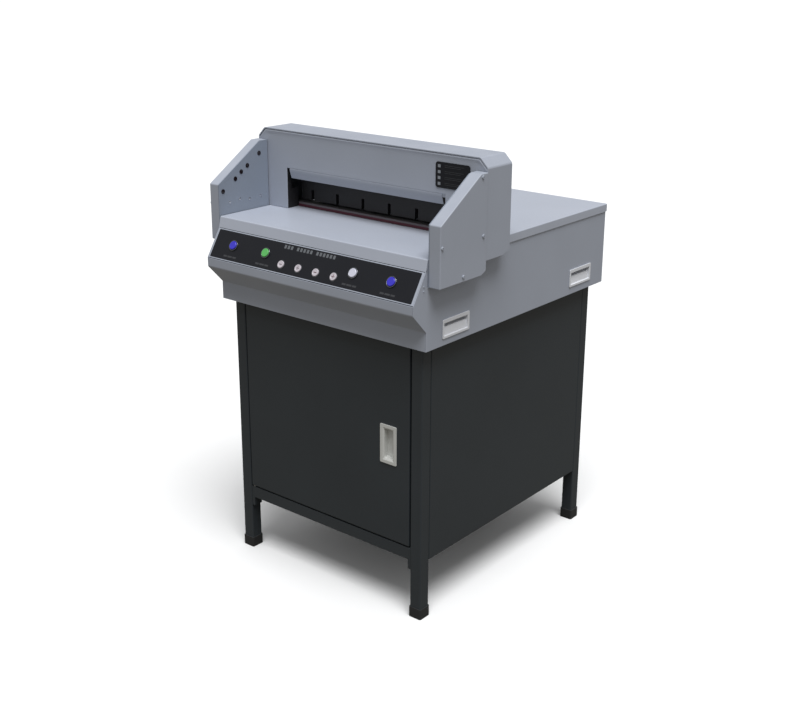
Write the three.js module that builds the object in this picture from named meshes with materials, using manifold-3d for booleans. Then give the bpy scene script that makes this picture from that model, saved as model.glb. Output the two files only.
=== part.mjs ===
// Floor-standing electric guillotine paper cutter on a cabinet stand.
// Millimetres, +Z up, front towards -Y. Inside the machine group y = 0 is the lower front face
// of the head and z = 0 is the floor.
import * as THREE from 'three';
import { mergeVertices } from 'three/addons/utils/BufferGeometryUtils.js';
import Module from 'manifold-3d';

const wasm = await Module();
wasm.setup();

// Driving dimensions
const gap = 0.4;
const sheet = 2.4;

const headHalf = 304;
const headBottom = 644;
const headRear = 704.4;
const noseY = -42;
const noseLow = 730;
const noseHigh = 752;
const kickZ = 686;
const slopeTopY = -3;
const slopeTopZ = 815;
const tableTop = 840;
const tableFrontY = 3;
const tableRearY = 199.3;
const rearTableTop = 841;
const rearTableStart = 248.6;
const rearTableEnd = 707;
const rearTableHalf = 306.4;
const rearLipHeight = 19;

const gantryHalf = 334;
const gantryFront = 161;
const gantryRear = 248;
const gantryTop = 1026;
const gantryBottom = 809;
const gantryChamfer = 20;

const throatLeft = -245.4;
const throatRight = 223.4;
const throatMid = (throatLeft + throatRight) / 2;
const coverEdge = 913;
const coverSeam = 937;
const bedTop = 851;
const bedFront = 199.8;
const stickSize = 10;

const clampFront = 211;
const clampBack = 241;
const clampBottom = 857;
const clampHeight = 78;
const fingerCount = 6;
const fingerPitch = 79;

const knifeBack = 209;
const knifeThick = 8;
const knifeEdge = 918;
const knifeHeight = 67;
const knifeLeft = -230;
const knifeRight = 248;
const rodX = 260;
const crankZ = 705;
const crankThrow = 33;

const guardInner = 306;
const guardOuter = 336;
const guardOutline = [[2.5, 782], [143, 782], [160.5, 790], [160.5, 998], [133, 996], [2.5, 912]];
const sensorSpots = [[15.5, 895], [55, 919], [74, 933], [94, 945], [132.6, 969]];

const cabinetHalf = 281.6;
const cabinetFront = 18;
const cabinetRear = 683;
const legSize = 30;
const footSize = 34;
const footHeight = 25.6;
const panelBottom = 139;
const floorLevel = 169.4;
const doorLeft = -249;
const doorRight = 247;
const doorBottom = 171;
const doorTop = 640;
const doorFront = 18.6;
const doorDepth = 15.4;
const hingeX = -244;
const hingeY = 24;
const hingeRadius = 3;
const pull = { x0: 166, x1: 212.4, z0: 355.5, z1: 447, inset: 10, depth: 13.5, proud: 2 };

const largeButtonRadius = 10;
const smallKeyRadius = 8.6;
const bezelRadius = 12.5;
const largeButtons = [
  ['button_forward', -236, 0x3f3bc8],
  ['button_start', -133, 0x4da65e],
  ['button_clamp', 126, 0xd4d6de],
  ['button_cut', 230.5, 0x3f3bc8],
];
const largeRow = 39;
const keyRow = 22;
const keyPitch = 51.8;
const keyCount = 4;

const handleFront = { y0: 53.5, y1: 147, z0: 659, z1: 701 };
const handleRear = { y0: 549, y1: 644, z0: 662, z1: 705 };

const fenceY = 262;
const screwZ = 800;
const screwRadius = 6;
const inlet = { x0: -272, x1: -238, z0: 660, z1: 684 };

// Solids and profiles
const alongX = new THREE.Matrix4().makeBasis(
  new THREE.Vector3(0, 1, 0), new THREE.Vector3(0, 0, 1), new THREE.Vector3(1, 0, 0));
const alongY = new THREE.Matrix4().makeBasis(
  new THREE.Vector3(1, 0, 0), new THREE.Vector3(0, 0, 1), new THREE.Vector3(0, -1, 0));

function box(x0, x1, y0, y1, z0, z1) {
  const geometry = new THREE.BoxGeometry(x1 - x0, y1 - y0, z1 - z0);
  return geometry.translate((x0 + x1) / 2, (y0 + y1) / 2, (z0 + z1) / 2);
}

function outline(points) {
  return new THREE.Shape(points.map(([a, b]) => new THREE.Vector2(a, b)));
}

function roundedRect(x0, x1, y0, y1, radius) {
  const shape = new THREE.Shape();
  shape.moveTo(x0 + radius, y0);
  shape.lineTo(x1 - radius, y0);
  shape.absarc(x1 - radius, y0 + radius, radius, -Math.PI / 2, 0);
  shape.lineTo(x1, y1 - radius);
  shape.absarc(x1 - radius, y1 - radius, radius, 0, Math.PI / 2);
  shape.lineTo(x0 + radius, y1);
  shape.absarc(x0 + radius, y1 - radius, radius, Math.PI / 2, Math.PI);
  shape.lineTo(x0, y0 + radius);
  shape.absarc(x0 + radius, y0 + radius, radius, Math.PI, Math.PI * 1.5);
  return shape;
}

function extrude(shape, depth, curveSegments = 4) {
  return new THREE.ExtrudeGeometry(shape, { depth, bevelEnabled: false, steps: 1, curveSegments });
}

// A (y, z) shape drawn out from x0 to x1.
function extrudeX(shape, x0, x1, curveSegments) {
  return extrude(shape, x1 - x0, curveSegments).applyMatrix4(alongX).translate(x0, 0, 0);
}

// An (x, z) shape drawn out from y0 to y1.
function extrudeY(shape, y0, y1, curveSegments) {
  return extrude(shape, y1 - y0, curveSegments).applyMatrix4(alongY).translate(0, y1, 0);
}

function cylinderX(radius, x0, x1, y, z, segments = 24) {
  const geometry = new THREE.CylinderGeometry(radius, radius, x1 - x0, segments).rotateZ(Math.PI / 2);
  return geometry.translate((x0 + x1) / 2, y, z);
}

function cylinderY(radius, y0, y1, x, z, segments = 24) {
  const geometry = new THREE.CylinderGeometry(radius, radius, y1 - y0, segments);
  return geometry.translate(x, (y0 + y1) / 2, z);
}

function cylinderZ(radius, z0, z1, x, y, segments = 24) {
  const geometry = new THREE.CylinderGeometry(radius, radius, z1 - z0, segments).rotateX(Math.PI / 2);
  return geometry.translate(x, y, (z0 + z1) / 2);
}

// A profile of [radius, height] pairs turned about Z.
function turned(profile, segments = 24) {
  const points = profile.map(([r, h]) => new THREE.Vector2(r, h));
  return new THREE.LatheGeometry(points, segments).rotateX(Math.PI / 2);
}

// Unit normal on the right-hand side of the line from a to b.
function rightNormal(a, b) {
  const length = Math.hypot(b[0] - a[0], b[1] - a[1]);
  return [(b[1] - a[1]) / length, (a[0] - b[0]) / length];
}

// The point at a corner, moved to the right of the path by a distance, with a mitre.
function mitre(before, corner, after, distance) {
  const first = rightNormal(before ?? corner, before ? corner : after);
  const second = rightNormal(after ? corner : before, after ?? corner);
  const scale = distance / (1 + first[0] * second[0] + first[1] * second[1]);
  return [corner[0] + (first[0] + second[0]) * scale, corner[1] + (first[1] + second[1]) * scale];
}

// Folded sheet: an open path thickened to its right.
function foldedSheet(path, thickness) {
  const inner = path.map((corner, i) => mitre(path[i - 1], corner, path[i + 1], thickness));
  return outline([...path, ...inner.reverse()]);
}

// A closed anticlockwise outline moved inwards by a distance.
function insetOutline(points, distance) {
  const count = points.length;
  return points.map((corner, i) =>
    mitre(points[(i + count - 1) % count], corner, points[(i + 1) % count], -distance));
}

function toSolid(geometry) {
  const bare = geometry.clone();
  bare.deleteAttribute('normal');
  bare.deleteAttribute('uv');
  const merged = mergeVertices(bare, 1e-4);
  const vertProperties = new Float32Array(merged.attributes.position.array);
  const triVerts = new Uint32Array(merged.index.array);
  return new wasm.Manifold(new wasm.Mesh({ numProp: 3, vertProperties, triVerts }));
}

function toGeometry(solid) {
  const mesh = solid.getMesh();
  const geometry = new THREE.BufferGeometry();
  geometry.setAttribute('position', new THREE.BufferAttribute(new Float32Array(mesh.vertProperties), 3));
  geometry.setIndex(new THREE.BufferAttribute(new Uint32Array(mesh.triVerts), 1));
  geometry.computeVertexNormals();
  return geometry;
}

function combine(added, removed = []) {
  const whole = added.map(toSolid).reduce((sum, part) => sum.add(part));
  return toGeometry(removed.map(toSolid).reduce((rest, part) => rest.subtract(part), whole));
}

const machine = new THREE.Group();
machine.position.y = -(noseY + rearTableEnd) / 2;

function addPart(name, geometry, color, roughness, metalness, parent = machine) {
  const material = new THREE.MeshStandardMaterial({ color, roughness, metalness });
  const mesh = new THREE.Mesh(geometry, material);
  mesh.name = name;
  parent.add(mesh);
  return mesh;
}

const greyPaint = [0xb9bec9, 0.5, 0.1];
const lightPaint = [0xc6cbd6, 0.5, 0.1];
const darkPaint = [0x2f3134, 0.55, 0.1];
const blackPaint = [0x17181a, 0.6, 0.1];
const steel = [0x8c8f94, 0.35, 0.9];
const darkSteel = [0x54575b, 0.45, 0.8];
const greyPlastic = [0xb4b8c0, 0.5, 0];
const blackPlastic = [0x1d1e20, 0.45, 0];
const redPlastic = [0x7a1626, 0.5, 0];

// A finger cup: flange on the wall's outer face, tub behind it, the lower wall sloping outwards.
// Drawn with the flange's back at height 0 and its outer face at height `proud`.
function cupParts(width, height, rim, depth, proud) {
  const halfW = width / 2;
  const halfH = height / 2;
  const flange = extrude(roundedRect(-halfW, halfW, -halfH, halfH, 5), proud);
  const tub = box(-halfW + rim, halfW - rim, -halfH + rim, halfH - rim, -depth, proud / 2);
  const wall = 2;
  const mouth = halfH - rim - wall;
  const pocket = outline([[-depth + wall, mouth], [-depth + wall, 0], [proud + 1, -mouth], [proud + 1, mouth]]);
  const pocketSolid = extrude(pocket, width - 2 * (rim + wall));
  pocketSolid.rotateY(-Math.PI / 2);
  pocketSolid.translate(halfW - rim - wall, 0, 0);
  return combine([flange, tub], [pocketSolid]);
}

// Head: base, walls, fascia and tables
function basePlate() {
  const plate = box(-301.6, 301.6, sheet + gap, headRear - sheet - gap, headBottom, headBottom + 3);
  const pinHole = cylinderZ(hingeRadius + gap, headBottom - 1, headBottom + 4, hingeX, hingeY, 16);
  return combine([plate], [pinHole]);
}

function housingSide(side) {
  const wall = outline([
    [0, headBottom], [headRear, headBottom], [headRear, tableTop - 3.4], [6.4, tableTop - 3.4],
    [0.9, slopeTopZ + 0.5], [slopeTopY - 0.4, slopeTopZ - 0.4], [noseY, noseHigh], [noseY, noseLow],
    [0, kickZ],
  ]);
  for (const cup of [handleFront, handleRear]) {
    const rim = 4 - gap;
    wall.holes.push(outline([
      [cup.y0 + rim, cup.z0 + rim], [cup.y1 - rim, cup.z0 + rim],
      [cup.y1 - rim, cup.z1 - rim], [cup.y0 + rim, cup.z1 - rim],
    ]));
  }
  const inner = headHalf - 2;
  return side > 0 ? extrudeX(wall, inner, headHalf) : extrudeX(wall, -headHalf, -inner);
}

function rearPanel() {
  const plate = box(-301.6, 301.6, headRear - sheet, headRear, headBottom, rearTableTop - 3.4);
  const window = box(inlet.x0 + 4 - gap, inlet.x1 - 4 + gap, headRear - 5, headRear + 5,
    inlet.z0 + 4 - gap, inlet.z1 - 4 + gap);
  return combine([plate], [window]);
}

function frontFascia() {
  const path = [[0, headBottom], [0, kickZ], [noseY, noseLow], [noseY, noseHigh - 1.3]];
  return extrudeX(foldedSheet(path, sheet), -301.6, 301.6);
}

function frontTable() {
  const path = [[slopeTopY, slopeTopZ + 1], [tableFrontY, tableTop], [tableRearY, tableTop]];
  const top = extrudeX(foldedSheet(path, 3), -headHalf, headHalf);
  const rodNotch = box(228, 272, 177.5, tableRearY + 1, tableTop - 5, tableTop + 1);
  return combine([top], [rodNotch]);
}

function rearTable() {
  const whole = box(-rearTableHalf, rearTableHalf, rearTableStart, rearTableEnd,
    rearTableTop - rearLipHeight, rearTableTop);
  const under = box(-rearTableHalf + 2, rearTableHalf - 2, rearTableStart - 1, rearTableEnd - 2.2,
    rearTableTop - rearLipHeight - 1, rearTableTop - 2.6);
  const slot = box(-8.5, 8.5, fenceY - 4, rearTableEnd - 57, rearTableTop - 5, rearTableTop + 1);
  return combine([whole], [under, slot]);
}

function powerInlet() {
  const flange = box(inlet.x0, inlet.x1, headRear + gap, headRear + 2.2, inlet.z0, inlet.z1);
  const body = box(inlet.x0 + 4, inlet.x1 - 4, headRear - 24, headRear + 1, inlet.z0 + 4, inlet.z1 - 4);
  const recess = box(inlet.x0 + 6, inlet.x1 - 6, headRear - 16, headRear + 5, inlet.z0 + 6, inlet.z1 - 6);
  return combine([flange, body], [recess]);
}

function addCarryHandle(name, cup, side) {
  const width = cup.y1 - cup.y0;
  const height = cup.z1 - cup.z0;
  const mesh = addPart(name, cupParts(width, height, 4, 22, 1.8), ...greyPlastic);
  const basis = new THREE.Matrix4().makeBasis(
    new THREE.Vector3(0, side, 0), new THREE.Vector3(0, 0, 1), new THREE.Vector3(side, 0, 0));
  mesh.quaternion.setFromRotationMatrix(basis);
  mesh.position.set(side * (headHalf + gap), (cup.y0 + cup.y1) / 2, (cup.z0 + cup.z1) / 2);
}

function addHead() {
  addPart('base_plate', basePlate(), ...darkPaint);
  addPart('housing_side_left', housingSide(-1), ...greyPaint);
  addPart('housing_side_right', housingSide(1), ...greyPaint);
  addPart('rear_panel', rearPanel(), ...greyPaint);
  addPart('front_fascia', frontFascia(), ...greyPaint);
  addPart('front_table', frontTable(), ...lightPaint);
  addPart('rear_table', rearTable(), ...lightPaint);
  addPart('power_inlet', powerInlet(), ...blackPlastic);
  for (const [tag, side] of [['left', -1], ['right', 1]]) {
    addCarryHandle(`carry_handle_front_${tag}`, handleFront, side);
    addCarryHandle(`carry_handle_rear_${tag}`, handleRear, side);
  }
}

// Control panel on the sloping nose. In its own group X is across, Y up the slope, Z outwards.
const slopeLength = Math.hypot(slopeTopY - noseY, slopeTopZ - noseHigh);
const panelThick = 3;

function controlPanel() {
  const plate = box(-301.6, 301.6, 0.9, slopeLength - 0.9, -panelThick, 0);
  const rings = largeButtons.map(([, x]) => cylinderZ(bezelRadius, -1, 3, x, largeRow));
  const holes = largeButtons.map(([, x]) =>
    cylinderZ(largeButtonRadius + gap, -5, 5, x, largeRow));
  for (let i = 0; i < keyCount; i++) {
    const x = (i - (keyCount - 1) / 2) * keyPitch;
    holes.push(cylinderZ(smallKeyRadius + gap, -5, 5, x, keyRow));
  }
  return combine([plate, ...rings], holes);
}

function buttonCap(radius, top, bottom) {
  return turned([[0, bottom], [radius, bottom], [radius, top - 1], [radius - 1, top], [0, top]]);
}

function addControls() {
  const slope = new THREE.Group();
  slope.position.set(0, noseY, noseHigh);
  slope.rotation.x = Math.atan2(slopeTopZ - noseHigh, slopeTopY - noseY);
  machine.add(slope);
  addPart('control_panel', controlPanel(), ...blackPlastic, slope);
  for (const [name, x, color] of largeButtons) {
    addPart(name, buttonCap(largeButtonRadius, 5, -8), color, 0.3, 0, slope).position.set(x, largeRow, 0);
  }
  for (let i = 0; i < keyCount; i++) {
    const x = (i - (keyCount - 1) / 2) * keyPitch;
    const key = addPart(`key_${i + 1}`, buttonCap(smallKeyRadius, 2.6, -6), 0xdadce4, 0.35, 0, slope);
    key.position.set(x, keyRow, 0);
  }
}

// Side guards with their light-curtain plates
function guardTray(side) {
  const outer = outline(guardOutline);
  const inner = outline(insetOutline(guardOutline, sheet));
  const back = guardInner + 2 + gap;
  const skin = guardOuter - sheet;
  const [a, b] = side > 0 ? [back, guardOuter] : [-guardOuter, -back];
  const [c, d] = side > 0 ? [back - 1, skin] : [-skin, -back + 1];
  return combine([extrudeX(outer, a, b)], [extrudeX(inner, c, d)]);
}

function lightCurtain(side) {
  const plate = outline(guardOutline);
  for (const [y, z] of sensorSpots) {
    const hole = new THREE.Path();
    hole.absarc(y, z, 4, 0, Math.PI * 2);
    plate.holes.push(hole);
  }
  const [a, b] = side > 0 ? [guardInner, guardInner + 2] : [-guardInner - 2, -guardInner];
  return extrudeX(plate, a, b, 8);
}

function addGuards() {
  for (const [tag, side] of [['left', -1], ['right', 1]]) {
    addPart(`guard_${tag}`, guardTray(side), ...greyPaint);
    addPart(`light_curtain_${tag}`, lightCurtain(side), ...greyPaint);
  }
}

// Gantry: hood, plates, inner frame
function gantryHood() {
  const x = gantryHalf;
  const flange = headHalf + 0.6;
  const path = [
    [-flange, gantryBottom], [-x, gantryBottom], [-x, gantryTop - gantryChamfer],
    [-x + gantryChamfer, gantryTop], [x - gantryChamfer, gantryTop], [x, gantryTop - gantryChamfer],
    [x, gantryBottom], [flange, gantryBottom],
  ];
  const shell = extrudeY(foldedSheet(path, sheet), gantryFront, gantryRear);
  const corner = outline([[213, gantryBottom - 1], [gantryRear + 1, gantryBottom - 1], [gantryRear + 1, 820]]);
  return combine([shell], [extrudeX(corner, -x - 1, x + 1)]);
}

function gantryPlate(notchTop, y0, y1) {
  const x = gantryHalf - sheet - gap;
  const top = gantryTop - sheet - gap;
  const low = gantryBottom + sheet + gap;
  const side = headHalf + 0.8;
  const cut = gantryChamfer - 1;
  return extrudeY(outline([
    [-x, low], [-side, low], [-side, tableTop + gap], [throatLeft, tableTop + gap],
    [throatLeft, notchTop], [throatRight, notchTop], [throatRight, tableTop + gap],
    [side, tableTop + gap], [side, low], [x, low], [x, top - cut], [x - cut, top],
    [-x + cut, top], [-x, top - cut],
  ]), y0, y1);
}

function rearCover() {
  const plate = gantryPlate(coverEdge + 2, gantryRear - 3, gantryRear - 0.6);
  const corner = outline([[213, gantryBottom - 1], [gantryRear + 1, gantryBottom - 1], [gantryRear + 1, 824]]);
  return combine([plate], [extrudeX(corner, -gantryHalf, gantryHalf)]);
}

function frontLip() {
  const y = gantryFront + 2;
  const path = [[y + 6.5, coverEdge], [y, coverSeam - 5], [y, coverSeam - 0.3]];
  return extrudeX(foldedSheet(path, sheet), throatLeft + 8.9, throatRight - 9.4);
}

function gantryFrame() {
  const left = box(-285, -275, 203, 243, headBottom + 3.4, 1004);
  const right = box(275, 285, 203, 243, headBottom + 3.4, 1004);
  const beam = box(-280, 280, clampFront, 243, 984, 1004);
  const screwHole = cylinderZ(8.4, 980, 1010, throatMid, 227);
  return combine([left, right, beam], [screwHole]);
}

function throatCheek(x0) {
  const y0 = gantryFront + 5;
  const low = tableTop + gap;
  const cheek = outline([[y0, low], [199, low], [199, 886], [177, 886], [177, 985], [y0, 985]]);
  return extrudeX(cheek, x0, x0 + 2);
}

function addGantry() {
  addPart('gantry_hood', gantryHood(), ...greyPaint);
  addPart('front_plate', gantryPlate(coverSeam, gantryFront + 2, gantryFront + 4.4), ...greyPaint);
  addPart('front_lip', frontLip(), ...greyPaint);
  addPart('gantry_rear_cover', rearCover(), ...greyPaint);
  addPart('gantry_frame', gantryFrame(), ...darkSteel);
  addPart('throat_cheek_left', throatCheek(throatLeft - 2), ...blackPaint);
  addPart('throat_cheek_right', throatCheek(throatRight), ...blackPaint);
}

// Cutting line: bed, stick, clamp, knife and its drive
function bed() {
  const seat = bedFront + stickSize + gap;
  return extrudeX(outline([
    [bedFront, 795], [244.4, 795], [244.4, 842], [236, bedTop], [seat, bedTop],
    [seat, bedTop - stickSize - gap], [bedFront, bedTop - stickSize - gap],
  ]), -274.6, 274.6);
}

function cuttingStick() {
  return box(throatLeft + 1, throatRight - 1, bedFront, bedFront + stickSize, bedTop - stickSize, bedTop);
}

function clampBar() {
  const bar = box(throatLeft + 2.4, throatRight - 2.4, clampFront, clampBack,
    clampBottom, clampBottom + clampHeight);
  const cuts = [cylinderZ(8.4, clampBottom + 11, clampBottom + clampHeight + 1, throatMid, 227)];
  for (let i = 0; i < fingerCount; i++) {
    const x = throatMid + (i - (fingerCount - 1) / 2) * fingerPitch;
    cuts.push(box(x - 4.5, x + 4.5, clampFront - 1, clampBack + 1, clampBottom - 1, clampBottom + 25));
  }
  return combine([bar], cuts);
}

function clampScrew() {
  return turned([[0, 926], [8, 926], [8, 1004.6], [16, 1004.6], [16, 1013], [0, 1013]]);
}

function knifeBlade() {
  return extrudeX(outline([
    [knifeBack, knifeEdge], [knifeBack, knifeEdge + knifeHeight],
    [knifeBack - knifeThick, knifeEdge + knifeHeight], [knifeBack - knifeThick, knifeEdge + 20],
  ]), knifeLeft, knifeRight);
}

function knifeCarrier() {
  return box(knifeLeft + 5, rodX - 6.4, 178, knifeBack - knifeThick - gap, 955, 1000);
}

function pullRod() {
  const eyeZ = crankZ + crankThrow;
  const bar = box(rodX - 6, rodX + 6, 181, 197, eyeZ, 995);
  const eye = cylinderY(15, 181, 197, rodX, eyeZ);
  const hole = cylinderY(7, 180, 198, rodX, eyeZ);
  return combine([bar, eye], [hole]);
}

function crankDisc() {
  const disc = cylinderY(38, 160.4, 172, rodX, crankZ, 40);
  const pin = cylinderY(6, 171, 180, rodX, crankZ + crankThrow - 1);
  return combine([disc, pin]);
}

function knifeGearmotor() {
  const gearbox = box(190, 280, 70, 158, headBottom + 3.4, 760);
  const shaft = cylinderY(10, 157, 160, rodX, crankZ);
  const motor = cylinderX(42, 45, 191, 114, crankZ, 32);
  return combine([gearbox, shaft, motor]);
}

function addCuttingLine() {
  addPart('bed', bed(), ...steel);
  addPart('cutting_stick', cuttingStick(), ...redPlastic);
  addPart('clamp', clampBar(), ...blackPaint);
  addPart('clamp_screw', clampScrew().translate(throatMid, 227, 0), ...steel);
  addPart('knife_blade', knifeBlade(), ...steel);
  addPart('knife_carrier', knifeCarrier(), ...darkSteel);
  addPart('pull_rod', pullRod(), ...darkSteel);
  addPart('crank_disc', crankDisc(), ...darkSteel);
  addPart('knife_gearmotor', knifeGearmotor(), ...darkSteel);
}

// Backgauge under and over the rear table
function backgaugeFence() {
  const parts = [box(throatLeft + 13, throatRight - 13, fenceY, fenceY + 10, rearTableTop + 1.6, 905)];
  for (let i = 0; i < fingerCount; i++) {
    const x = throatMid + (i - (fingerCount - 1) / 2) * fingerPitch;
    parts.push(box(x - 4, x + 4, fenceY - 9, fenceY + 1, rearTableTop + 1.6, 862));
  }
  return combine(parts);
}

function backgaugeCarriage() {
  const block = box(-22, 22, fenceY, fenceY + 38, screwZ - 17, screwZ + 22);
  const neck = box(-7.5, 7.5, fenceY + 2, fenceY + 28, screwZ + 21, rearTableTop + 1.2);
  const bore = cylinderY(screwRadius + gap, fenceY - 1, fenceY + 39, 0, screwZ);
  return combine([block, neck], [bore]);
}

function backgaugeMotor() {
  const bracket = box(-30, 30, 648, 652, headBottom + 3.4, 824);
  const motor = cylinderY(24, 651, 700, 0, screwZ);
  const screwHole = cylinderY(screwRadius + gap, 640, 662, 0, screwZ);
  return combine([bracket, motor], [screwHole]);
}

function addBackgauge() {
  addPart('backgauge_fence', backgaugeFence(), ...steel);
  addPart('backgauge_carriage', backgaugeCarriage(), ...darkSteel);
  addPart('backgauge_screw', cylinderY(screwRadius, 245, 660, 0, screwZ), ...steel);
  addPart('backgauge_motor', backgaugeMotor(), ...blackPaint);
}

// Cabinet stand
function legTube() {
  const half = legSize / 2;
  const section = roundedRect(-half, half, -half, half, 3);
  section.holes.push(outline([[-13, -13], [13, -13], [13, 13], [-13, 13]]));
  return extrude(section, headBottom - gap - 4.4).translate(0, 0, 4.4);
}

function footCap() {
  const half = footSize / 2;
  const pocket = legSize / 2 + gap;
  const block = extrude(roundedRect(-half, half, -half, half, 4), footHeight);
  return combine([block], [box(-pocket, pocket, -pocket, pocket, 4, footHeight + 1)]);
}

function sidePanel(side) {
  const y0 = cabinetFront + legSize + 0.6;
  const y1 = cabinetRear - legSize - 0.6;
  const top = headBottom - 0.6;
  const [a, b] = side > 0 ? [267, cabinetHalf] : [-cabinetHalf, -267];
  const [c, d] = side > 0 ? [266, cabinetHalf - 2] : [-cabinetHalf + 2, -266];
  return combine([box(a, b, y0, y1, panelBottom, top)], [box(c, d, y0 + 2, y1 - 2, panelBottom + 2, top - 2)]);
}

function cabinetBack() {
  const x = cabinetHalf - legSize - 0.6;
  const top = headBottom - 0.6;
  const pan = box(-x, x, 668, cabinetRear, panelBottom, top);
  return combine([pan], [box(-x + 2, x - 2, 667, cabinetRear - 2, panelBottom + 2, top - 2)]);
}

function frontRail() {
  const x = cabinetHalf - legSize - gap;
  const rail = box(-x, x, 20, 44, panelBottom, 167);
  const tabs = [-1, 1].map((side) => {
    const [a, b] = side > 0 ? [x - 8, x] : [-x, -x + 8];
    return box(a, b, 22, 42, panelBottom - 23, panelBottom + 1);
  });
  const pinHole = cylinderZ(hingeRadius + gap, 157, 168, hingeX, hingeY, 16);
  return combine([rail, ...tabs], [pinHole]);
}

function cabinetFloor() {
  const inner = cabinetHalf - legSize - gap;
  const front = 36.5;
  const frontLeg = cabinetFront + legSize + gap;
  const rearLeg = cabinetRear - legSize - gap;
  const plan = outline([
    [-inner, front], [inner, front], [inner, frontLeg], [266.4, frontLeg], [266.4, rearLeg],
    [inner, rearLeg], [inner, 667], [-inner, 667], [-inner, rearLeg], [-266.4, rearLeg],
    [-266.4, frontLeg], [-inner, frontLeg],
  ]);
  const tray = extrude(plan, 2).translate(0, 0, floorLevel - 2);
  return combine([tray, box(-inner, inner, 664, 667, panelBottom + 2.4, floorLevel - 1)]);
}

function door() {
  const y1 = doorFront + doorDepth;
  const pan = box(doorLeft, doorRight, doorFront, y1, doorBottom, doorTop);
  const lowPin = cylinderZ(hingeRadius, 160, doorBottom + 1, hingeX, hingeY, 16);
  const highPin = cylinderZ(hingeRadius, doorTop - 1, headBottom + 2, hingeX, hingeY, 16);
  const hollow = box(doorLeft + 1.8, doorRight - 1.8, doorFront + 1.8, y1 + 1, doorBottom + 1.8, doorTop - 1.8);
  const rim = pull.inset - gap;
  const cup = box(pull.x0 + rim, pull.x1 - rim, doorFront - 2, doorFront + 5, pull.z0 + rim, pull.z1 - rim);
  return combine([pan, lowPin, highPin], [hollow, cup]);
}

function addDoorPull() {
  const width = pull.x1 - pull.x0;
  const height = pull.z1 - pull.z0;
  const mesh = addPart('door_pull', cupParts(width, height, pull.inset, pull.depth, pull.proud), ...greyPlastic);
  mesh.rotation.x = Math.PI / 2;
  mesh.position.set((pull.x0 + pull.x1) / 2, doorFront - gap, (pull.z0 + pull.z1) / 2);
}

function addCabinet() {
  const x = cabinetHalf - legSize / 2;
  const rows = [['front', cabinetFront + legSize / 2], ['rear', cabinetRear - legSize / 2]];
  for (const [row, y] of rows) {
    for (const [tag, side] of [['left', -1], ['right', 1]]) {
      addPart(`leg_${row}_${tag}`, legTube(), ...darkPaint).position.set(side * x, y, 0);
      addPart(`foot_cap_${row}_${tag}`, footCap(), ...blackPlastic).position.set(side * x, y, 0);
    }
  }
  addPart('cabinet_side_left', sidePanel(-1), ...darkPaint);
  addPart('cabinet_side_right', sidePanel(1), ...darkPaint);
  addPart('cabinet_back', cabinetBack(), ...darkPaint);
  addPart('cabinet_rail', frontRail(), ...darkPaint);
  addPart('cabinet_floor', cabinetFloor(), ...darkPaint);
  addPart('door', door(), ...darkPaint);
  addDoorPull();
}

addHead();
addControls();
addGuards();
addGantry();
addCuttingLine();
addBackgauge();
addCabinet();

const cutter = new THREE.Group();
cutter.add(machine);

export default cutter;
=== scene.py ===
import bmesh
import bpy
import math
from mathutils import Matrix, Vector


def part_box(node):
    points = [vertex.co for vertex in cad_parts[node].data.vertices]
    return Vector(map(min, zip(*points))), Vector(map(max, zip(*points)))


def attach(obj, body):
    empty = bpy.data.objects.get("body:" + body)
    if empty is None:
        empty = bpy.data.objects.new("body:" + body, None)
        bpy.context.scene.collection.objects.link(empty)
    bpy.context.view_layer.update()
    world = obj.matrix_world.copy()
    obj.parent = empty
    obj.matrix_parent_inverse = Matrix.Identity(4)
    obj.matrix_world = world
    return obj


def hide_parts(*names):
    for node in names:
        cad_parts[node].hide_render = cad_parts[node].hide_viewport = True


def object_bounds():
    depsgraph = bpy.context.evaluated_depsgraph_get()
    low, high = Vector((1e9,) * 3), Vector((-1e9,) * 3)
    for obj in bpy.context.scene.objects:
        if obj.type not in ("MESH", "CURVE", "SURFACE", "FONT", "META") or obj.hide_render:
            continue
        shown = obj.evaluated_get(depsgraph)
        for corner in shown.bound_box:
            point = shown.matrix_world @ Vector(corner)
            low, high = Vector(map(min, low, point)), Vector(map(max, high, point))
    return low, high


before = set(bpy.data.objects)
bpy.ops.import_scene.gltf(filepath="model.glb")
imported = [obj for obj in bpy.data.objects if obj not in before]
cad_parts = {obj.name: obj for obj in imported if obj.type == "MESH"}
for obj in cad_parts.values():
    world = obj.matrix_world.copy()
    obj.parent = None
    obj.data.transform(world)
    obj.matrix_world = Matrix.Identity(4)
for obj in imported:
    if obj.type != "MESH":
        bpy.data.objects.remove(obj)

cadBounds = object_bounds()
flanks = (("left", -1), ("right", 1))

camera = {
    "place": (1.7245, -2.1429, 1.4468),
    "azimuth": 38.77,
    "elevation": 18.08,
    "roll": 0.44,
    "lens": 53.58,
    "shift": (-0.0173, -0.0373),
}

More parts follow.
